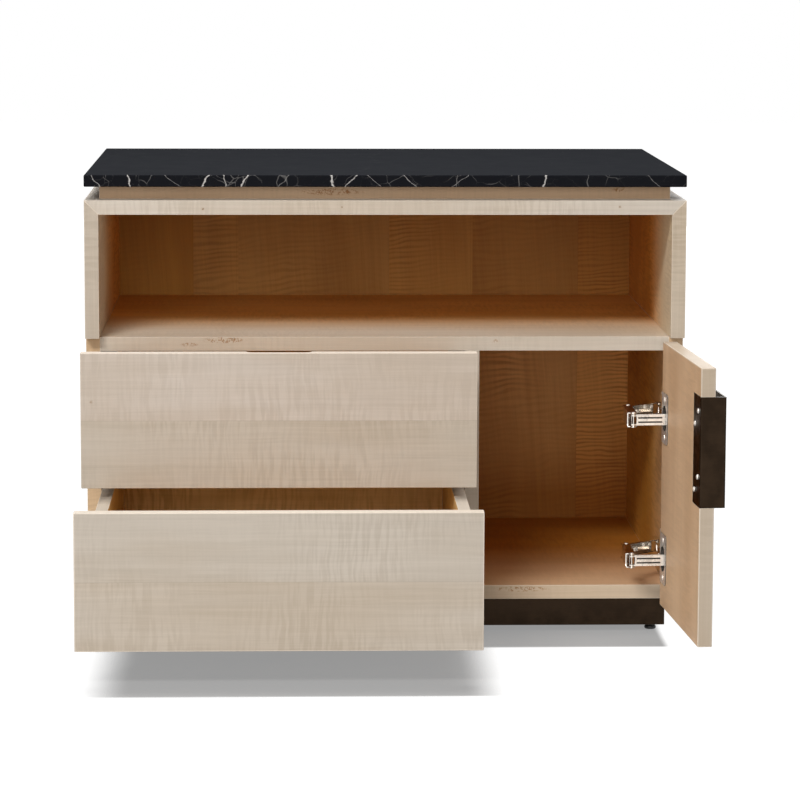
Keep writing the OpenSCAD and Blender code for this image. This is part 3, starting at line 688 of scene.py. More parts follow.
# For each finish: the setting with its colour, the colour of its arrises or how much lighter they are,
# roughness where it is smooth and where it is rough, metallic, strength of the brush marks and relief
WORN = {
    "Dark bronze": ("bronze", 3.2, 0.30, 0.48, 1.0, 0.35, 0.1),
    "Bright nickel": ("nickel", (0.85, 0.82, 0.78), 0.12, 0.18, 1.0, 0.05, 0.004),
    "Satin nickel": ("nickel", (0.92, 0.90, 0.87), 0.25, 0.32, 0.5, 0.05, 0.005),
    "Galvanised steel": ("steel", (0.65, 0.66, 0.68), 0.30, 0.50, 1.0, 0.6, 0.1),
    "Black plastic": ("plastic", (0.04, 0.04, 0.04), 0.40, 0.60, 0.0, 0.1, 0.1),
}


def worn(name):
    """A metal or plastic finish with mottling, brush marks and lighter arrises, made only once."""
    if name in bpy.data.materials:
        return bpy.data.materials[name]
    setting, rubbed_and_highlight, smooth, rough, metallic, brush, relief = WORN[name]
    colour = getattr(bpy.context.scene.metal_look, setting)
    if isinstance(rubbed_and_highlight, float):
        rubbed_and_highlight = [part * rubbed_and_highlight for part in colour]
    material, bench, shader = new_material(name, Metallic=metallic)
    # Faces marked inside get painted shade in the grooves
    finish = bench.group(
        wear_group(), Vector=bench.on_object()[1], Colour=rgba(colour), Rubbed=rgba(rubbed_and_highlight),
        Arris=bench.attribute("arris"), Groove=bench.attribute("inside"), Brush=brush, Smooth=smooth,
        Rough=rough,
    )
    bench.fill(shader, Base_Color=finish["Colour"], Roughness=finish["Roughness"],
               Normal=bench.bump(finish["Height"], relief))
    return material


# Screws and rivets

HEAD_SIDES = 20
SHANK_SIDES = 12
# The shank's radius as a share of the head's
SHANK_SHARE = 0.45
# Head radius, head height, shank length and width of the recess, in millimetres
FASTENERS = {
    "handle_screws": (3.2, 1.5, 13, 0.9),
    "cup_screws": (3.6, 1.3, 3, 0.9),
    "plate_screws": (3.6, 1.6, 3, 0.9),
    "rocker_screws": (2.6, 1.4, 2, 0.8),
    "rivets": (2.6, 0.9, 1.5, 0.0),
}


@node_group(
    "Screws and rivets",
    [
        ("Points", "Geometry", None),
        ("Head radius", "Float", 0.003),
        ("Head height", "Float", 0.001),
        ("Shank radius", "Float", 0.0015),
        ("Shank length", "Float", 0.003),
        ("Recess width", "Float", 0.0),
        ("Material", "Material", None),
    ],
    [("Geometry", "Geometry")],
    "GeometryNodeTree",
)
def fastener_tree(bench, given, out):
    """Pan heads on short shanks, one at each point, turned to its aim. A recess above 0 cuts a cross."""

    def share(label, amount):
        return bench.times(given[label], amount)

    def moved(part, height, turn=0.0):
        offset = bench.node("ShaderNodeCombineXYZ", Z=height).outputs[0]
        return bench.node(
            "GeometryNodeTransform", Geometry=part, Translation=offset, Rotation=(0, 0, turn)
        ).outputs[0]

    def cone(bottom, top, depth):
        """A slice of the head, its sizes as shares of the head's."""
        return bench.node(
            "GeometryNodeMeshCone", Vertices=HEAD_SIDES, Radius_Top=share("Head radius", top),
            Radius_Bottom=bottom, Depth=share("Head height", depth),
        ).outputs["Mesh"]

    rim = cone(given["Head radius"], 0.95, 0.6)
    crown = cone(share("Head radius", 0.93), 0.60, 0.45)
    shank = bench.node(
        "GeometryNodeMeshCylinder", Vertices=SHANK_SIDES, Radius=given["Shank radius"],
        Depth=given["Shank length"],
    ).outputs["Mesh"]
    whole = bench.node("GeometryNodeMeshBoolean", {"operation": "UNION"})
    for part in (rim, moved(crown, share("Head height", 0.55)), moved(shank, share("Shank length", -0.45))):
        bench.plug(whole.inputs["Mesh 2"], part)
    size = bench.node("ShaderNodeCombineXYZ", X=share("Head radius", 1.1), Y=given["Recess width"],
                      Z=given["Head height"]).outputs[0]
    bar = bench.node("GeometryNodeMeshCube", Size=size).outputs["Mesh"]
    cut = bench.node("GeometryNodeMeshBoolean", {"operation": "DIFFERENCE"}, Mesh_1=whole.outputs["Mesh"])
    for turn in (0.0, math.pi / 2):
        bench.plug(cut.inputs["Mesh 2"], moved(bar, given["Head height"], turn))
    has_recess = bench.node(
        "FunctionNodeCompare", {"operation": "GREATER_THAN"}, A=given["Recess width"], B=0.0
    )
    head = bench.node(
        "GeometryNodeSwitch", {"input_type": "GEOMETRY"}, Switch=has_recess.outputs["Result"],
        **{"False": whole.outputs["Mesh"], "True": cut.outputs["Mesh"]},
    ).outputs[0]
    aim = bench.node("GeometryNodeInputNamedAttribute", {"data_type": "FLOAT_VECTOR"}, Name="aim")
    turned = bench.node("FunctionNodeAlignRotationToVector", {"axis": "Z"}, Vector=aim.outputs["Attribute"])
    placed = bench.node("GeometryNodeInstanceOnPoints", Points=given["Points"], Instance=head,
                        Rotation=turned.outputs[0])
    chance = bench.node("FunctionNodeRandomValue", {"data_type": "FLOAT"}, Seed=7)
    bench.plug(chance.inputs[2], 0.0)
    bench.plug(chance.inputs[3], math.pi / 2)
    spin = bench.node("ShaderNodeCombineXYZ", Z=chance.outputs[1]).outputs[0]
    spun = bench.node("GeometryNodeRotateInstances", Instances=placed.outputs[0], Rotation=spin)
    real = bench.node("GeometryNodeRealizeInstances", Geometry=spun.outputs[0])
    bench.plug(out["Geometry"], bench.node(
        "GeometryNodeSetMaterial", Geometry=real.outputs[0], Material=given["Material"]).outputs[0])


def fasteners(name, node, kind, places, keeps_node=True):
    """Screws or rivets at the places, each a point and the way it faces, on the body of the node."""
    mesh = bpy.data.meshes.new(name + "_points")
    mesh.from_pydata([point for point, aim in places], [], [])
    aims = mesh.attributes.new("aim", "FLOAT_VECTOR", "POINT")
    for row, (point, aim) in zip(aims.data, places):
        row.vector = aim
    points = bpy.data.objects.new(name + "_points", mesh)
    bpy.context.scene.collection.objects.link(points)
    modifier = points.modifiers.new("Screws and rivets", "NODES")
    modifier.node_group = fastener_tree()
    radius, height, shank, recess = (size * MM for size in FASTENERS[kind])
    values = {
        "Head radius": radius, "Head height": height, "Shank radius": radius * SHANK_SHARE,
        "Shank length": shank, "Recess width": recess, "Material": worn("Satin nickel"),
    }
    for item in modifier.node_group.interface.items_tree:
        if item.item_type == "SOCKET" and item.in_out == "INPUT" and item.name in values:
            modifier[item.identifier] = values[item.name]
    bpy.context.view_layer.update()
    made = bpy.data.meshes.new_from_object(points.evaluated_get(bpy.context.evaluated_depsgraph_get()))
    bpy.data.objects.remove(points)
    return finish_piece(made, name, node, keeps_node)


# Mesh work

# Widths of the eased arrises of the slab, the plinth, the bronze and plastic pieces and the hinges
SLAB_EASE = 0.4 * MM
PLINTH_EASE = 0.5 * MM
SMALL_EASE = 0.3 * MM
HINGE_EASE = 0.2 * MM
# Points closer together than this are one, and so are faces that meet at less than this angle
MERGED = 1e-6
FLAT = math.radians(0.5)
# Edges that are shorter than this or less sharp aren't eased
SHORTEST = 6 * MM
SHARP = math.radians(35)
# Edges sharper than this are shaded as edges
SHADED_SHARP = math.radians(32)
# How far off a face the point lies that says which room the face looks into
PROBE = 2 * MM


def in_box(point, low, high):
    return all(a < p < b for a, p, b in zip(low, point, high))


def hollows():
    """The spaces inside the case and the drawers, as pairs of corners."""
    left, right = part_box("lower_side_left")[1].x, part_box("lower_side_right")[0].x
    front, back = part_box("shelf_panel")[0].y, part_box("back_panel")[0].y
    rooms = [(Vector((left, front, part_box("bottom_panel")[1].z)),
              Vector((right, back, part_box("case_top_panel")[0].z)))]
    for drawer in DRAWERS:
        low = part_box(drawer + "_left_side")[1].copy()
        low.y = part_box(drawer + "_front")[1].y
        low.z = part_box(drawer + "_bottom")[1].z
        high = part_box(drawer + "_right_side")[0].copy()
        high.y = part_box(drawer + "_back")[0].y
        high.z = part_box(drawer + "_left_side")[1].z
        rooms.append((low, high))
    return rooms


def in_a_room(face, rooms):
    """1 where a point just off the face lies in one of the rooms."""
    probe = face.calc_center_median() + face.normal * PROBE
    return float(any(in_box(probe, *room) for room in rooms))


def looks(face, way):
    """1 where the face looks the given way."""
    return float(face.normal.dot(way) > 0.9)


def eased_copy(node, material, width, segments=2, shortest=SHORTEST, inward=None, polished=None, shape=None):
    """A copy of a CAD node with its long arrises eased, in place of the node.

    Its eased faces, and those for which the highlight test says so, carry the attribute arris, by which the
    maple is painted with a highlight. Each face carries what inward gives for it as inside, by which the
    finishes paint light and shade, and on the slab a highlight. Shape works on the mesh before its arrises
    are eased.
    """
    bm = bmesh.new()
    bm.from_mesh(cad[node].data)
    bmesh.ops.remove_doubles(bm, verts=bm.verts, dist=MERGED)
    bmesh.ops.dissolve_limit(bm, angle_limit=FLAT, verts=bm.verts, edges=bm.edges, delimit={"NORMAL"})
    if shape:
        shape(bm)
    arris = bm.faces.layers.float.new("arris")
    inside = bm.faces.layers.float.new("inside")
    edges = [
        e for e in bm.edges
        if e.is_manifold and e.calc_length() > shortest and e.calc_face_angle() > SHARP
    ]
    made = bmesh.ops.bevel(
        bm, geom=edges, offset=width, offset_type="OFFSET", segments=segments, profile=0.5,
        affect="EDGES", clamp_overlap=True,
    )
    for face in made["faces"]:
        face[arris] = 1.0
    bm.normal_update()
    for face in bm.faces:
        if inward:
            face[inside] = inward(face)
        if polished and polished(face):
            face[arris] = 1.0
    mesh = bpy.data.meshes.new(node + "_looks")
    bm.to_mesh(mesh)
    bm.free()
    mesh.materials.append(material)
    return finish_piece(mesh, node + "_looks", node)


def finish_piece(mesh, name, node, keeps_node=False):
    """An object for the mesh that rides on the node's body and, unless the node is kept, stands for it."""
    for polygon in mesh.polygons:
        polygon.use_smooth = True
    mesh.set_sharp_from_angle(angle=SHADED_SHARP)
    piece = bpy.data.objects.new(name, mesh)
    bpy.context.scene.collection.objects.link(piece)
    weighted = piece.modifiers.new("Even shading", "WEIGHTED_NORMAL")
    weighted.keep_sharp = True
    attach(piece, body_of_node[node])
    if not keeps_node:
        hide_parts(node)
    return piece


def dress(node, material):
    """The CAD node keeps its own mesh and gets the material."""
    slots = cad[node].material_slots
    if not slots:
        cad[node].data.materials.append(material)
    for slot in slots:
        slot.material = material


def board(node, material, inward=None, polished=None):
    """An eased board of the case or a drawer, whose inside faces are those that look into a room."""
    rooms = hollows()
    return eased_copy(
        node, material, bpy.context.scene.maple_look.ease,
        inward=inward or (lambda face: in_a_room(face, rooms)), polished=polished,
    )


def case_middle():
    low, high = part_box("case_top_panel")
    return (low.x + high.x) / 2


def front_middle():
    """The point on the floor under the middle of the case's front edge."""
    return Vector((case_middle(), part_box("case_top_panel")[0].y, 0.0))


# Operators, one for each group of pieces

# The riser's rails, with the way their fibres run, and how much of the inside colour they are painted with
# all over, as painted shade under the slab
RISER = {"riser_front_rail": "X", "riser_back_rail": "X", "riser_left_rail": "Y", "riser_right_rail": "Y"}
RISER_PAINTED_SHADE = 0.45
RISER_BARK = {
    "riser_front_rail": ((-0.067, 0.028, 0.571, 0.045, 0.005), (0.298, 0.028, 0.574, 0.012, 0.004)),
}


class NIGHTSTAND_OT_top(bpy.types.Operator):
    """Makes the marble slab and the riser under it"""

    bl_idname = "nightstand.top"
    bl_label = "Marble top and riser"

    def execute(self, context):
        eased_copy("marble_top", marble("Black marble"), SLAB_EASE, segments=3,
                   inward=lambda face: looks(face, UP))
        for seed, (node, fibres) in enumerate(RISER.items()):
            look = maple(node + "_maple", fibres, 3 + seed, curl=0.05, fibre=0.22, depth=OPEN,
                         bark=RISER_BARK.get(node, ()))
            board(node, look, inward=lambda face: RISER_PAINTED_SHADE)
        return {"FINISHED"}


# The plain boards of the case: what its maple is called, the way its fibres run, its seed, and its figure,
# with the painted shade and light on its inside faces
CASE_BOARDS = {
    "case_top_panel": ("top_panel", "X", 11, {
        "tint": (1.09, 1.09, 1.09),
        "knots": ((-0.2304, 0, 0.5513, 0.0009), (-0.0556, 0, 0.5538, 0.0006), (0.2954, 0, 0.554, 0.0008)),
    }),
    "upper_side_left": ("upper_left", "Z", 14, {
        "depth": (0.08, 0.40), "inner": (1.28, 1.42, 1.7), "lift": (1.35, 1.3, 1.2),
    }),
    "upper_side_right": ("upper_right", "Z", 15, {"tint": (1.0, 0.95, 0.88), "lift": (1.4, 1.4, 1.3)}),
    "shelf_panel": ("shelf", "X", 21, {
        "curl": 0.09, "tint": (1.12, 1.12, 1.12), "depth": (0.06, 0.29), "lift": (1.48, 1.47, 1.43),
        "inner": (1.0, 1.08, 1.15),
        "bark": ((-0.249, 0.0205, 0.377, 0.012, 0.003), (-0.205, 0.0205, 0.3828, 0.031, 0.0045),
                 (0.1385, 0.0205, 0.3813, 0.006, 0.003)),
    }),
    "bottom_panel": ("bottom", "X", 24, {
        "curl": 0.09, "tint": (1.14, 1.05, 0.94), "depth": (0.02, 0.33), "lift": (1.42, 1.15, 0.92),
        "inner": (0.62, 0.54, 0.36), "bark": ((0.175, 0.0205, 0.060, 0.04, 0.004),),
    }),
    "divider_panel": ("divider", "Z", 27, {}),
}
# Both sides of the lower case, with painted shade and light on their inside faces and front edges
LOWER_SIDES = {
    "tint": (0.92, 0.90, 0.86), "depth": (-0.10, 0.27), "inner": (0.86, 0.86, 0.66),
    "lift": (1.32, 1.18, 1.02),
}
# Joints of the back panel's veneer leaves, from the middle of the case, and their tints
LEAF_JOINTS = (-0.258, -0.196, 0.019, 0.136, 0.289)
LEAF_TINTS = (
    (1.17, 1.09, 0.70), (1.06, 1.02, 0.93), (0.98, 0.94, 0.86),
    (1.02, 0.94, 0.78), (0.92, 0.84, 0.72), (0.92, 0.76, 0.52),
)
# Strength and pitch of the curl in each leaf
LEAF_FIGURES = (
    (0.07, 0.0080), (0.24, 0.0075), (0.30, 0.0080), (0.34, 0.0066), (0.36, 0.0086), (0.60, 0.0060),
)
# Painted light and shade on the back: it is painted darker low in the cupboard and paler towards its top
CUPBOARD_PAINTED_LIGHT = (0.10, 0.33, 0.386, (0.82, 0.66, 0.40), (2.0, 2.5, 4.2))


class NIGHTSTAND_OT_case(bpy.types.Operator):
    """Makes the boards of the upper and the lower case and the back panel"""

    bl_idname = "nightstand.case"
    bl_label = "Case"

    def execute(self, context):
        for node, (name, fibres, seed, figure) in CASE_BOARDS.items():
            board(node, maple(name + "_maple", fibres, seed, **figure))
        rooms = hollows()
        for seed, side in enumerate(("left", "right")):
            # Their front edges are painted like the faces inside, with painted shade and light
            board(f"lower_side_{side}", maple(f"lower_{side}_maple", "Z", 17 + seed, **LOWER_SIDES),
                  inward=lambda face: max(in_a_room(face, rooms), looks(face, FRONT)))
        low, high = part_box("back_panel")
        leaves = ("X", low.x, high.x, [case_middle() + joint for joint in LEAF_JOINTS], LEAF_TINTS)
        # The back panel's inside face is painted darker by its tint, a painted shade. Its outside keeps
        # BACK_OUTSIDE
        board("back_panel", maple(
            "back_maple", "Z", 31, length=0.09, joints=leaves, slope=0.07, tint=(0.62, 0.62, 0.62),
            leaves=LEAF_FIGURES, rise=CUPBOARD_PAINTED_LIGHT,
        ))
        dress("case_dowels", maple("dowel_maple", "X", 35))
        return {"FINISHED"}


# The drawers, with the tints of the lower and the upper board that each front is glued up from
DRAWERS = {
    "upper_drawer": ((0.952, 0.943, 0.929), (1.035, 1.03, 1.06)),
    "lower_drawer": ((0.98, 0.97, 0.963), (0.945, 0.94, 0.935)),
}
FRONT_SEEDS = (41, 48)
FRONT_KNOTS = {"upper_drawer": ((-0.3659, -0.126, 0.3238, 0.0009),)}
# The painted shade inside the drawers is paler than inside the case
DRAWER_INNER = (1.14, 1.52, 2.60)
# The other boards of a drawer, with the way their fibres run, and the upper and the lower drawer's seeds
DRAWER_BOARDS = {
    "left_side": ("Y", (55, 58)), "right_side": ("Y", (55, 58)),
    "back": ("X", (61, 62)), "bottom": ("X", (65, 66)),
}


class NIGHTSTAND_OT_drawers(bpy.types.Operator):
    """Makes both drawers and dresses their runners"""

    bl_idname = "nightstand.drawers"
    bl_label = "Drawers and runners"

    def execute(self, context):
        drawer_rooms = hollows()[1:]

        def drawer_board(node, fibres, seed, polished=None, **figure):
            """A board whose inside faces look into a drawer, wherever the drawer stands."""
            look = maple(node + "_maple", fibres, seed, depth=OPEN, inner=DRAWER_INNER, **figure)
            board(node, look, lambda face: in_a_room(face, drawer_rooms), polished)

        for place, (drawer, tints) in enumerate(DRAWERS.items()):
            low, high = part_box(drawer + "_front")
            glued = ("Z", low.z, high.z, [(low.z + high.z) / 2], tints)
            # Each front's top face is painted paler like the arrises, a painted highlight
            drawer_board(drawer + "_front", "X", FRONT_SEEDS[place], lambda face: looks(face, UP),
                         joints=glued, knots=FRONT_KNOTS.get(drawer, ()))
            for part, (fibres, seeds) in DRAWER_BOARDS.items():
                drawer_board(f"{drawer}_{part}", fibres, seeds[place])
        for node in cad:
            if slot_of_node[node] == "steel":
                dress(node, worn("Galvanised steel"))
        return {"FINISHED"}


class NIGHTSTAND_OT_plinth(bpy.types.Operator):
    """Makes the plinth, its corner blocks and the feet"""

    bl_idname = "nightstand.plinth"
    bl_label = "Plinth and feet"

    def execute(self, context):
        for side in ("front", "back", "left", "right"):
            eased_copy(f"plinth_{side}_rail", worn("Dark bronze"), PLINTH_EASE)
        dress("plinth_corner_blocks", maple("corner_block_maple", "X", 71))
        for corner in ("front_left", "front_right", "back_left", "back_right"):
            eased_copy("foot_" + corner, worn("Black plastic"), SMALL_EASE, shortest=2 * MM)
        return {"FINISHED"}


# How much painted shade and warm light the door's inner face, which looks to the left while the door stands
# open, is painted with
DOOR_PAINTED_SHADE = 0.45
# How deep the handle's screws are set into it
HANDLE_SCREWS_IN = 0.6 * MM


def joint_named(name):
    """The joint's row in the record, and its point as a vector."""
    row = next(j for j in frame["record"]["behaviour"]["joints"] if j["name"] == name)
    return row, Vector(row["pos_m"])


def door_side(side):
    """The way that the door's inner face or its free edge looks while the door stands open."""
    opened = math.radians(-joint_named("door_swing")[0]["range_deg"][0])
    closed = -FRONT if side == "inner" else LEFT
    return Matrix.Rotation(opened, 3, "Z") @ closed


def islands(node):
    """The points of each separate solid in a node."""
    bm = bmesh.new()
    bm.from_mesh(cad[node].data)
    bmesh.ops.remove_doubles(bm, verts=bm.verts, dist=MERGED)
    left = set(bm.verts)
    found = []
    while left:
        reached = [left.pop()]
        for vert in reached:
            for edge in vert.link_edges:
                other = edge.other_vert(vert)
                if other in left:
                    left.remove(other)
                    reached.append(other)
        found.append(sorted((vert.co.copy() for vert in reached), key=lambda co: tuple(co)))
    bm.free()
    return sorted(found, key=lambda points: (points[0].z, points[0].y))


def outermost(points, aim):
    """The middle of the face that lies farthest out in the way of aim."""
    farthest = max(point.dot(aim) for point in points)
    face = [point for point in points if point.dot(aim) > farthest - 0.05 * MM]
    low = Vector([min(point[k] for point in face) for k in range(3)])
    high = Vector([max(point[k] for point in face) for k in range(3)])
    return (low + high) / 2


class NIGHTSTAND_OT_door(bpy.types.Operator):
    """Makes the door, its bent handle and the handle's screws"""

    bl_idname = "nightstand.door"
    bl_label = "Door and handle"

    def execute(self, context):
        # The door's inner face is painted paler by lift and warmer by inner, painted light and shade
        look = maple("door_maple", "Z", 81, curl=0.08, fibre=0.16, depth=OPEN, tint=(0.97, 0.92, 0.86),
                     lift=(1.50, 1.62, 1.80), inner=(1.20, 1.28, 1.45))
        board("door_panel", look, inward=lambda face: DOOR_PAINTED_SHADE * looks(face, LEFT))
        eased_copy("door_handle", worn("Dark bronze"), SMALL_EASE)
        inner = door_side("inner")
        places = [
            (outermost(points, inner) - inner * HANDLE_SCREWS_IN, inner)
            for points in islands("handle_screws")
        ]
        fasteners("handle_screw_heads", "handle_screws", "handle_screws", places, keeps_node=False)
        return {"FINISHED"}


# From the link's far end to the pin there
LINK_PIN_IN = 4.2 * MM
# The part of the bar with its grooves and its window: half its width and half its height
GROOVES = (2.6 * MM, 6 * MM)
# How much painted shade the bar's grooves, the rim and the inside of the cup, and the rocker's web carry
GROOVE_SHADE, RIM_SHADE, WEB_SHADE = 1.0, 0.85, 0.62
# Deeper below the flange's face than this is the inside of the cup
CUP_INSIDE = 2 * MM
# The rocker's web and the rib on it, in millimetres: start and stop from the arm's pin, near and far
# face, and half the height, which for the web is that of the rocker less LEVER
WEB = (14, 52, 2.0, 3.2, None)
RIB = (19, 42, 3.0, 4.2, 2.4)
LEVER = 0.9
# Faces of the rocker that look out and are nearer its middle than this are the web's and not the rib's
WEB_FACE = 3.5 * MM
# Screws, in millimetres: heights from the middle of the hinge, and for the rocker's first how far they
# are from the arm's pin
CUP_SCREWS_UP = (-24, 24)
PLATE_SCREWS_UP = (-20, 20)
ROCKER_SCREWS = ((17.5, 3.2), (30.0, 4.4), (46.0, 0.0))
# How far the screws of the cup and the plate are set in, how far the plate stands off the case's side,
# how far in front of the arm's pin its screws are, how far out those of the rocker are, and how deep
# the rivets' heads are set into the link's cheeks
SET_IN = 0.3 * MM
PLATE = 2.5 * MM
PLATE_SCREWS_FORWARD = 8 * MM
ROCKER_SCREWS_OUT = 2.9 * MM
RIVETS_IN = 0.2 * MM


def hinge_layout(hinge):
    """The points and directions at rest by which a hinge's pieces are shaped and its screws placed."""
    low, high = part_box(hinge + "_link")
    at = SimpleNamespace(middle=(low.z + high.z) / 2, top=high.z, inner=door_side("inner"))
    at.end = joint_named("hinge_links_swing")[1]
    at.pin = joint_named("hinge_rockers_swing")[1]
    at.far_end = Vector((at.end.x, high.y - LINK_PIN_IN, 0))
    at.along = (at.far_end - Vector((at.pin.x, at.pin.y, 0))).normalized()
    at.out = Matrix.Rotation(math.pi / 2, 3, "Z") @ at.along
    at.flange = outermost([v.co for v in cad[hinge + "_cup"].data.vertices], at.inner)
    at.arm_pin = Vector((at.pin.x, at.pin.y, at.middle))
    return at


def make_hinge(hinge, at):
    """The five pieces of a hinge, with a web between the rocker's levers and painted shade in its hollows.
    """
    free = door_side("free")

    def in_a_groove(face):
        """Painted shade on the floors of the bar's grooves and inside its window."""
        centre = face.calc_center_median()
        beside, up = abs((centre - at.end).dot(free)), abs(centre.z - at.middle)
        return GROOVE_SHADE * (beside < GROOVES[0] and up < GROOVES[1])

    def on_a_rim(face):
        """Painted shade on the rim of the flange and down in the cup."""
        deep = (face.calc_center_median() - at.flange).dot(at.inner) < -CUP_INSIDE
        return RIM_SHADE * (deep or abs(face.normal.dot(at.inner)) < 0.5)

    def on_the_web(face):
        """Painted shade on the rocker's web, round its rib."""
        depth = (face.calc_center_median() - at.pin).dot(at.out)
        return WEB_SHADE * looks(face, at.out) * (depth < WEB_FACE)

    def add_web(bm):
        """Joins the rocker's levers by a pressed web with a raised rib."""
        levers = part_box(hinge + "_rocker")
        between_levers = (levers[1].z - levers[0].z) / 2 / MM - LEVER
        turn = Matrix((at.along, at.out, (0, 0, 1))).transposed().to_4x4()
        for start, stop, near, far, half in (WEB, RIB):
            middle = at.arm_pin + at.along * (start + stop) / 2 * MM + at.out * (near + far) / 2 * MM
            height = 2 * (half or between_levers) * MM
            size = Matrix.Diagonal(((stop - start) * MM, (far - near) * MM, height, 1))
            bmesh.ops.create_cube(bm, size=1.0, matrix=Matrix.Translation(middle) @ turn @ size)

    shades = {"cup": on_a_rim, "bar": in_a_groove, "link": None, "rocker": on_the_web, "arm": None}
    for part, shade in shades.items():
        finish = worn("Satin nickel" if part in ("cup", "bar") else "Bright nickel")
        eased_copy(f"{hinge}_{part}", finish, HINGE_EASE, shortest=3 * MM, inward=shade,
                   shape=add_web if part == "rocker" else None)


def add_hinge_screws(hinge, at):
    """The screws of the cup and of the plate, those on the rocker, and the rivets of the link."""

    def put(kind, part, places):
        fasteners(f"{hinge}_{kind}", f"{hinge}_{part}", kind, places)

    put("cup_screws", "cup", [
        (at.flange + Vector((0, 0, up * MM)) - at.inner * SET_IN, at.inner) for up in CUP_SCREWS_UP
    ])
    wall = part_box("lower_side_right")[0].x
    plate = Vector((wall - PLATE + SET_IN, at.pin.y - PLATE_SCREWS_FORWARD, at.middle))
    put("plate_screws", "arm", [(plate + Vector((0, 0, up * MM)), LEFT) for up in PLATE_SCREWS_UP])
    put("rocker_screws", "rocker", [
        (at.arm_pin + Vector((0, 0, up * MM)) + at.along * far * MM + at.out * ROCKER_SCREWS_OUT, at.out)
        for far, up in ROCKER_SCREWS
    ])
    cheek = at.top - at.middle - RIVETS_IN
    put("rivets", "link", [
        (Vector((point.x, point.y, at.middle + way * cheek)), Vector((0, 0, way)))
        for point in (at.end, at.far_end) for way in (-1, 1)
    ])


class NIGHTSTAND_OT_hinges(bpy.types.Operator):
    """Makes the two cup hinges"""

    bl_idname = "nightstand.hinges"
    bl_label = "Hinges"

    def execute(self, context):
        for hinge in ("upper_hinge", "lower_hinge"):
            at = hinge_layout(hinge)
            make_hinge(hinge, at)
            add_hinge_screws(hinge, at)
        return {"FINISHED"}


# The stage

# Where the camera stands, from the middle of the case's front edge on the floor, and how it is turned
CAMERA_PLACE = Vector((-0.1266, -4.2579, 0.8906))
CAMERA_DOWN = math.radians(7.781)
CAMERA_RIGHT = math.radians(1.948)
CAMERA_ROLL = math.radians(0.172)
SENSOR = 36.0
FARTHEST = 60.0
# The lights by the settings of their power: place and aim from the same point, and size
LIGHTS = {
    "top_light": ((0, 0.14, 2.4), (0, 0.14, 0), (1.8, 0.5)),
    "slant_light": ((-1.4, -3.4, 3.0), (0, 0, 0.4), (1.6, 0.7)),
    "back_light": ((1.2, 6.0, 1.3), (0, 0.5, 0.3), (4.0, 3.0)),
    "front_light": ((-0.8, -7.0, 1.6), (0, 0, 0.3), (4.0, 3.0)),
}
LIGHT_COLOUR = (1.0, 0.985, 0.965)
# How strongly the floor glows in the painted shadows, where the real shadow shows on it too. Elsewhere it is
# white.
NEAR_GLOW = 0.295
# The painted shadows of the case and of the lower drawer, from the point under the case's front edge: white
# at the left, full from, full to, white at the right, front edge and back edge. The drawer's reaches back
# under the case, where it is hidden until the drawer is pulled out.
CASE_SHADOW = (-0.40, -0.37, 0.350, 0.362, -0.058, 0.56)
DRAWER_SHADOW = (-0.385, -0.312, 0.085, 0.150, -0.336, 0.20)
# Half the width of a shadow's soft front edge and back edge, and how far the sheet with the drawer's
# shadow reaches past them, in front and behind
SOFT_EDGES = (6 * MM, 40 * MM)
SHEET_BEYOND = (10 * MM, 50 * MM)
# Height of that sheet over the floor
SHEET_UP = 0.2 * MM
# The floor's colour as it is seen, and as it lights the object from below
FLOOR_SEEN = (0.17, 0.17, 0.17, 1)
FLOOR_BOUNCE = (0.55, 0.55, 0.55, 1)


def new_camera(context):
    data = bpy.data.cameras.new("camera")
    data.sensor_width = SENSOR
    data.lens = context.scene.studio_look.lens
    data.clip_end = FARTHEST
    camera = bpy.data.objects.new("camera", data)
    context.scene.collection.objects.link(camera)
    turn = (
        Matrix.Rotation(-CAMERA_RIGHT, 4, "Z")
        @ Matrix.Rotation(-CAMERA_DOWN, 4, "X")
        @ Matrix.Rotation(-CAMERA_ROLL, 4, "Y")
        @ Matrix.Rotation(math.pi / 2, 4, "X")
    )
    camera.matrix_world = Matrix.Translation(front_middle() + CAMERA_PLACE) @ turn
    context.scene.camera = camera


def new_light(context, name):
    place, aim, size = LIGHTS[name]
    place, aim = front_middle() + Vector(place), front_middle() + Vector(aim)
    data = bpy.data.lights.new(name, "AREA")
    data.shape = "RECTANGLE"
    data.size, data.size_y = size
    data.energy = getattr(context.scene.studio_look, name)
    data.color = LIGHT_COLOUR
    light = bpy.data.objects.new(name, data)
    context.scene.collection.objects.link(light)
    light.location = place
    light.rotation_mode = "QUATERNION"
    light.rotation_quaternion = (aim - place).to_track_quat("-Z", "Y")


def seen_directly(bench):
    """1 for rays that show the background: those of the camera, of gloss and of glass."""
    path = bench.node("ShaderNodeLightPath").outputs
    some = bench.math("MAXIMUM", path["Is Camera Ray"], path["Is Glossy Ray"])
    return bench.math("MAXIMUM", some, path["Is Transmission Ray"])


def new_world(context):
    world = bpy.data.worlds.new("white_studio")
    context.scene.world = world
    world.use_nodes = True
    bench = Bench(world.node_tree)
    ambient = context.scene.studio_look.ambient
    bench.fill(world.node_tree.nodes["Background"], Color=WHITE,
               Strength=bench.between(seen_directly(bench), 0.0, 1.0, ambient, 1.0, False))


def shadow_mask(bench, edges):
    """1 where the shadow is full, 0 outside it."""
    left, full_left, full_right, right, near, far = edges
    place = bench.parts(bench.node("ShaderNodeTexCoord").outputs["Object"])
    start = front_middle()
    mask = bench.times(bench.between(place["X"], start.x + left, start.x + full_left),
                       bench.between(place["X"], start.x + full_right, start.x + right, 1.0, 0.0))
    for edge, soft, ends in ((near, SOFT_EDGES[0], (0.0, 1.0)), (far, SOFT_EDGES[1], (1.0, 0.0))):
        edge += start.y
        mask = bench.times(mask, bench.between(place["Y"], edge - soft, edge + soft, *ends))
    return mask


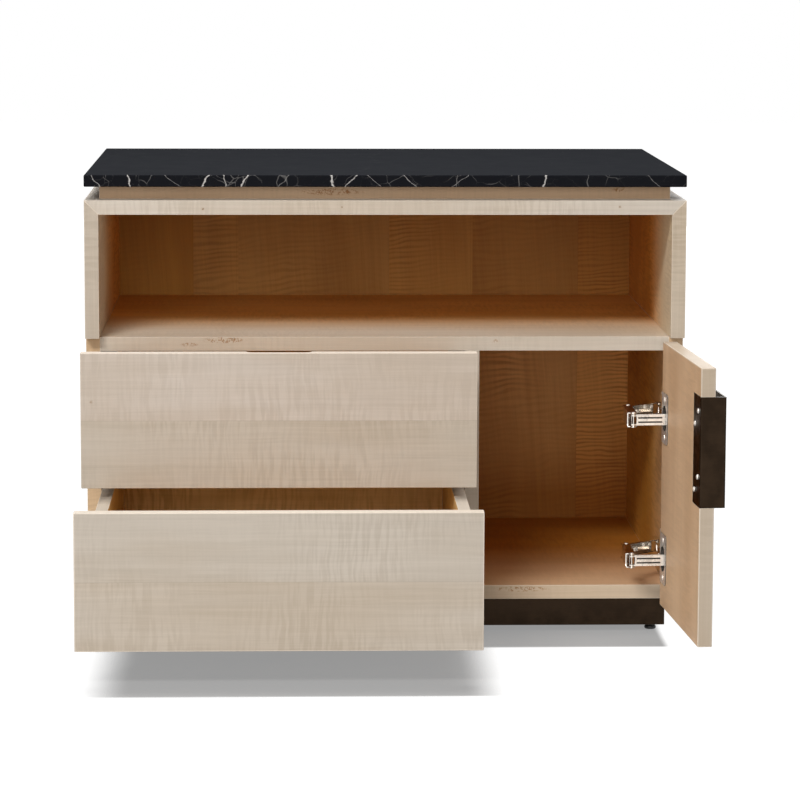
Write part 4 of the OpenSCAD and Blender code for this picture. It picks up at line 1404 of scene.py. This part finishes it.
def flat_sheet(name, low, high, up, material):
    mesh = bpy.data.meshes.new(name)
    corners = [(low[0], low[1], up), (high[0], low[1], up), (high[0], high[1], up), (low[0], high[1], up)]
    mesh.from_pydata(corners, [], [(0, 1, 2, 3)])
    mesh.materials.append(material)
    sheet = bpy.data.objects.new(name, mesh)
    bpy.context.scene.collection.objects.link(sheet)
    return sheet


def new_floor():
    half = 12.0
    material, bench, shader = new_material("Pale floor", Roughness=0.9, Specular_IOR_Level=0.0)
    seen = seen_directly(bench)
    glow = bench.between(shadow_mask(bench, CASE_SHADOW), 0.0, 1.0, 1.0, NEAR_GLOW, False)
    bench.fill(shader, Base_Color=bench.mix(seen, FLOOR_BOUNCE, FLOOR_SEEN), Emission_Color=WHITE,
               Emission_Strength=bench.times(glow, seen))
    flat_sheet("floor", (-half, -half), (half, half), 0.0, material)


def new_drawer_shadow():
    """A sheet just over the floor with the lower drawer's painted shadow, which moves along with the drawer.
    """
    material, bench, shader = new_material("Drawer shadow", Roughness=0.9, Specular_IOR_Level=0.0)
    mask = bench.times(shadow_mask(bench, DRAWER_SHADOW), seen_directly(bench))
    bench.fill(shader, Base_Color=FLOOR_SEEN, Emission_Color=WHITE, Emission_Strength=NEAR_GLOW, Alpha=mask)
    start = front_middle()
    left, right, near, far = (DRAWER_SHADOW[place] for place in (0, 3, 4, 5))
    sheet = flat_sheet("drawer_shadow", (start.x + left, start.y + near - SHEET_BEYOND[0]),
                       (start.x + right, start.y + far + SHEET_BEYOND[1]), SHEET_UP, material)
    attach(sheet, "lower_drawer")


class NIGHTSTAND_OT_stage(bpy.types.Operator):
    """Makes the floor, the light and the camera"""

    bl_idname = "nightstand.stage"
    bl_label = "Stage"

    def execute(self, context):
        new_camera(context)
        new_world(context)
        new_floor()
        new_drawer_shadow()
        for name in LIGHTS:
            new_light(context, name)
        context.scene.view_settings.view_transform = "Standard"
        return {"FINISHED"}


STEPS = (
    NIGHTSTAND_OT_top,
    NIGHTSTAND_OT_case,
    NIGHTSTAND_OT_drawers,
    NIGHTSTAND_OT_plinth,
    NIGHTSTAND_OT_door,
    NIGHTSTAND_OT_hinges,
    NIGHTSTAND_OT_stage,
)


class NIGHTSTAND_PT_looks(bpy.types.Panel):
    """Lists the settings and the steps in the sidebar"""

    bl_label = "Nightstand looks"
    bl_idname = "NIGHTSTAND_PT_looks"
    bl_space_type = "VIEW_3D"
    bl_region_type = "UI"
    bl_category = "Nightstand"

    def draw(self, context):
        for name in LOOKS:
            box = self.layout.box()
            settings = getattr(context.scene, name)
            for label in settings.__annotations__:
                box.prop(settings, label)
        for step in STEPS:
            self.layout.operator(step.bl_idname)


LOOKS = {
    "maple_look": MapleSettings,
    "marble_look": MarbleSettings,
    "metal_look": MetalSettings,
    "studio_look": StudioSettings,
}


def register():
    for cls in (*LOOKS.values(), *STEPS, NIGHTSTAND_PT_looks):
        bpy.utils.register_class(cls)
    for name, cls in LOOKS.items():
        setattr(bpy.types.Scene, name, PointerProperty(type=cls))


def unregister():
    for name in LOOKS:
        delattr(bpy.types.Scene, name)
    for cls in (NIGHTSTAND_PT_looks, *reversed(STEPS), *reversed(LOOKS.values())):
        bpy.utils.unregister_class(cls)


def main():
    register()
    for step in STEPS:
        group, name = step.bl_idname.split(".")
        getattr(getattr(bpy.ops, group), name)()


if __name__ == "__main__":
    main()
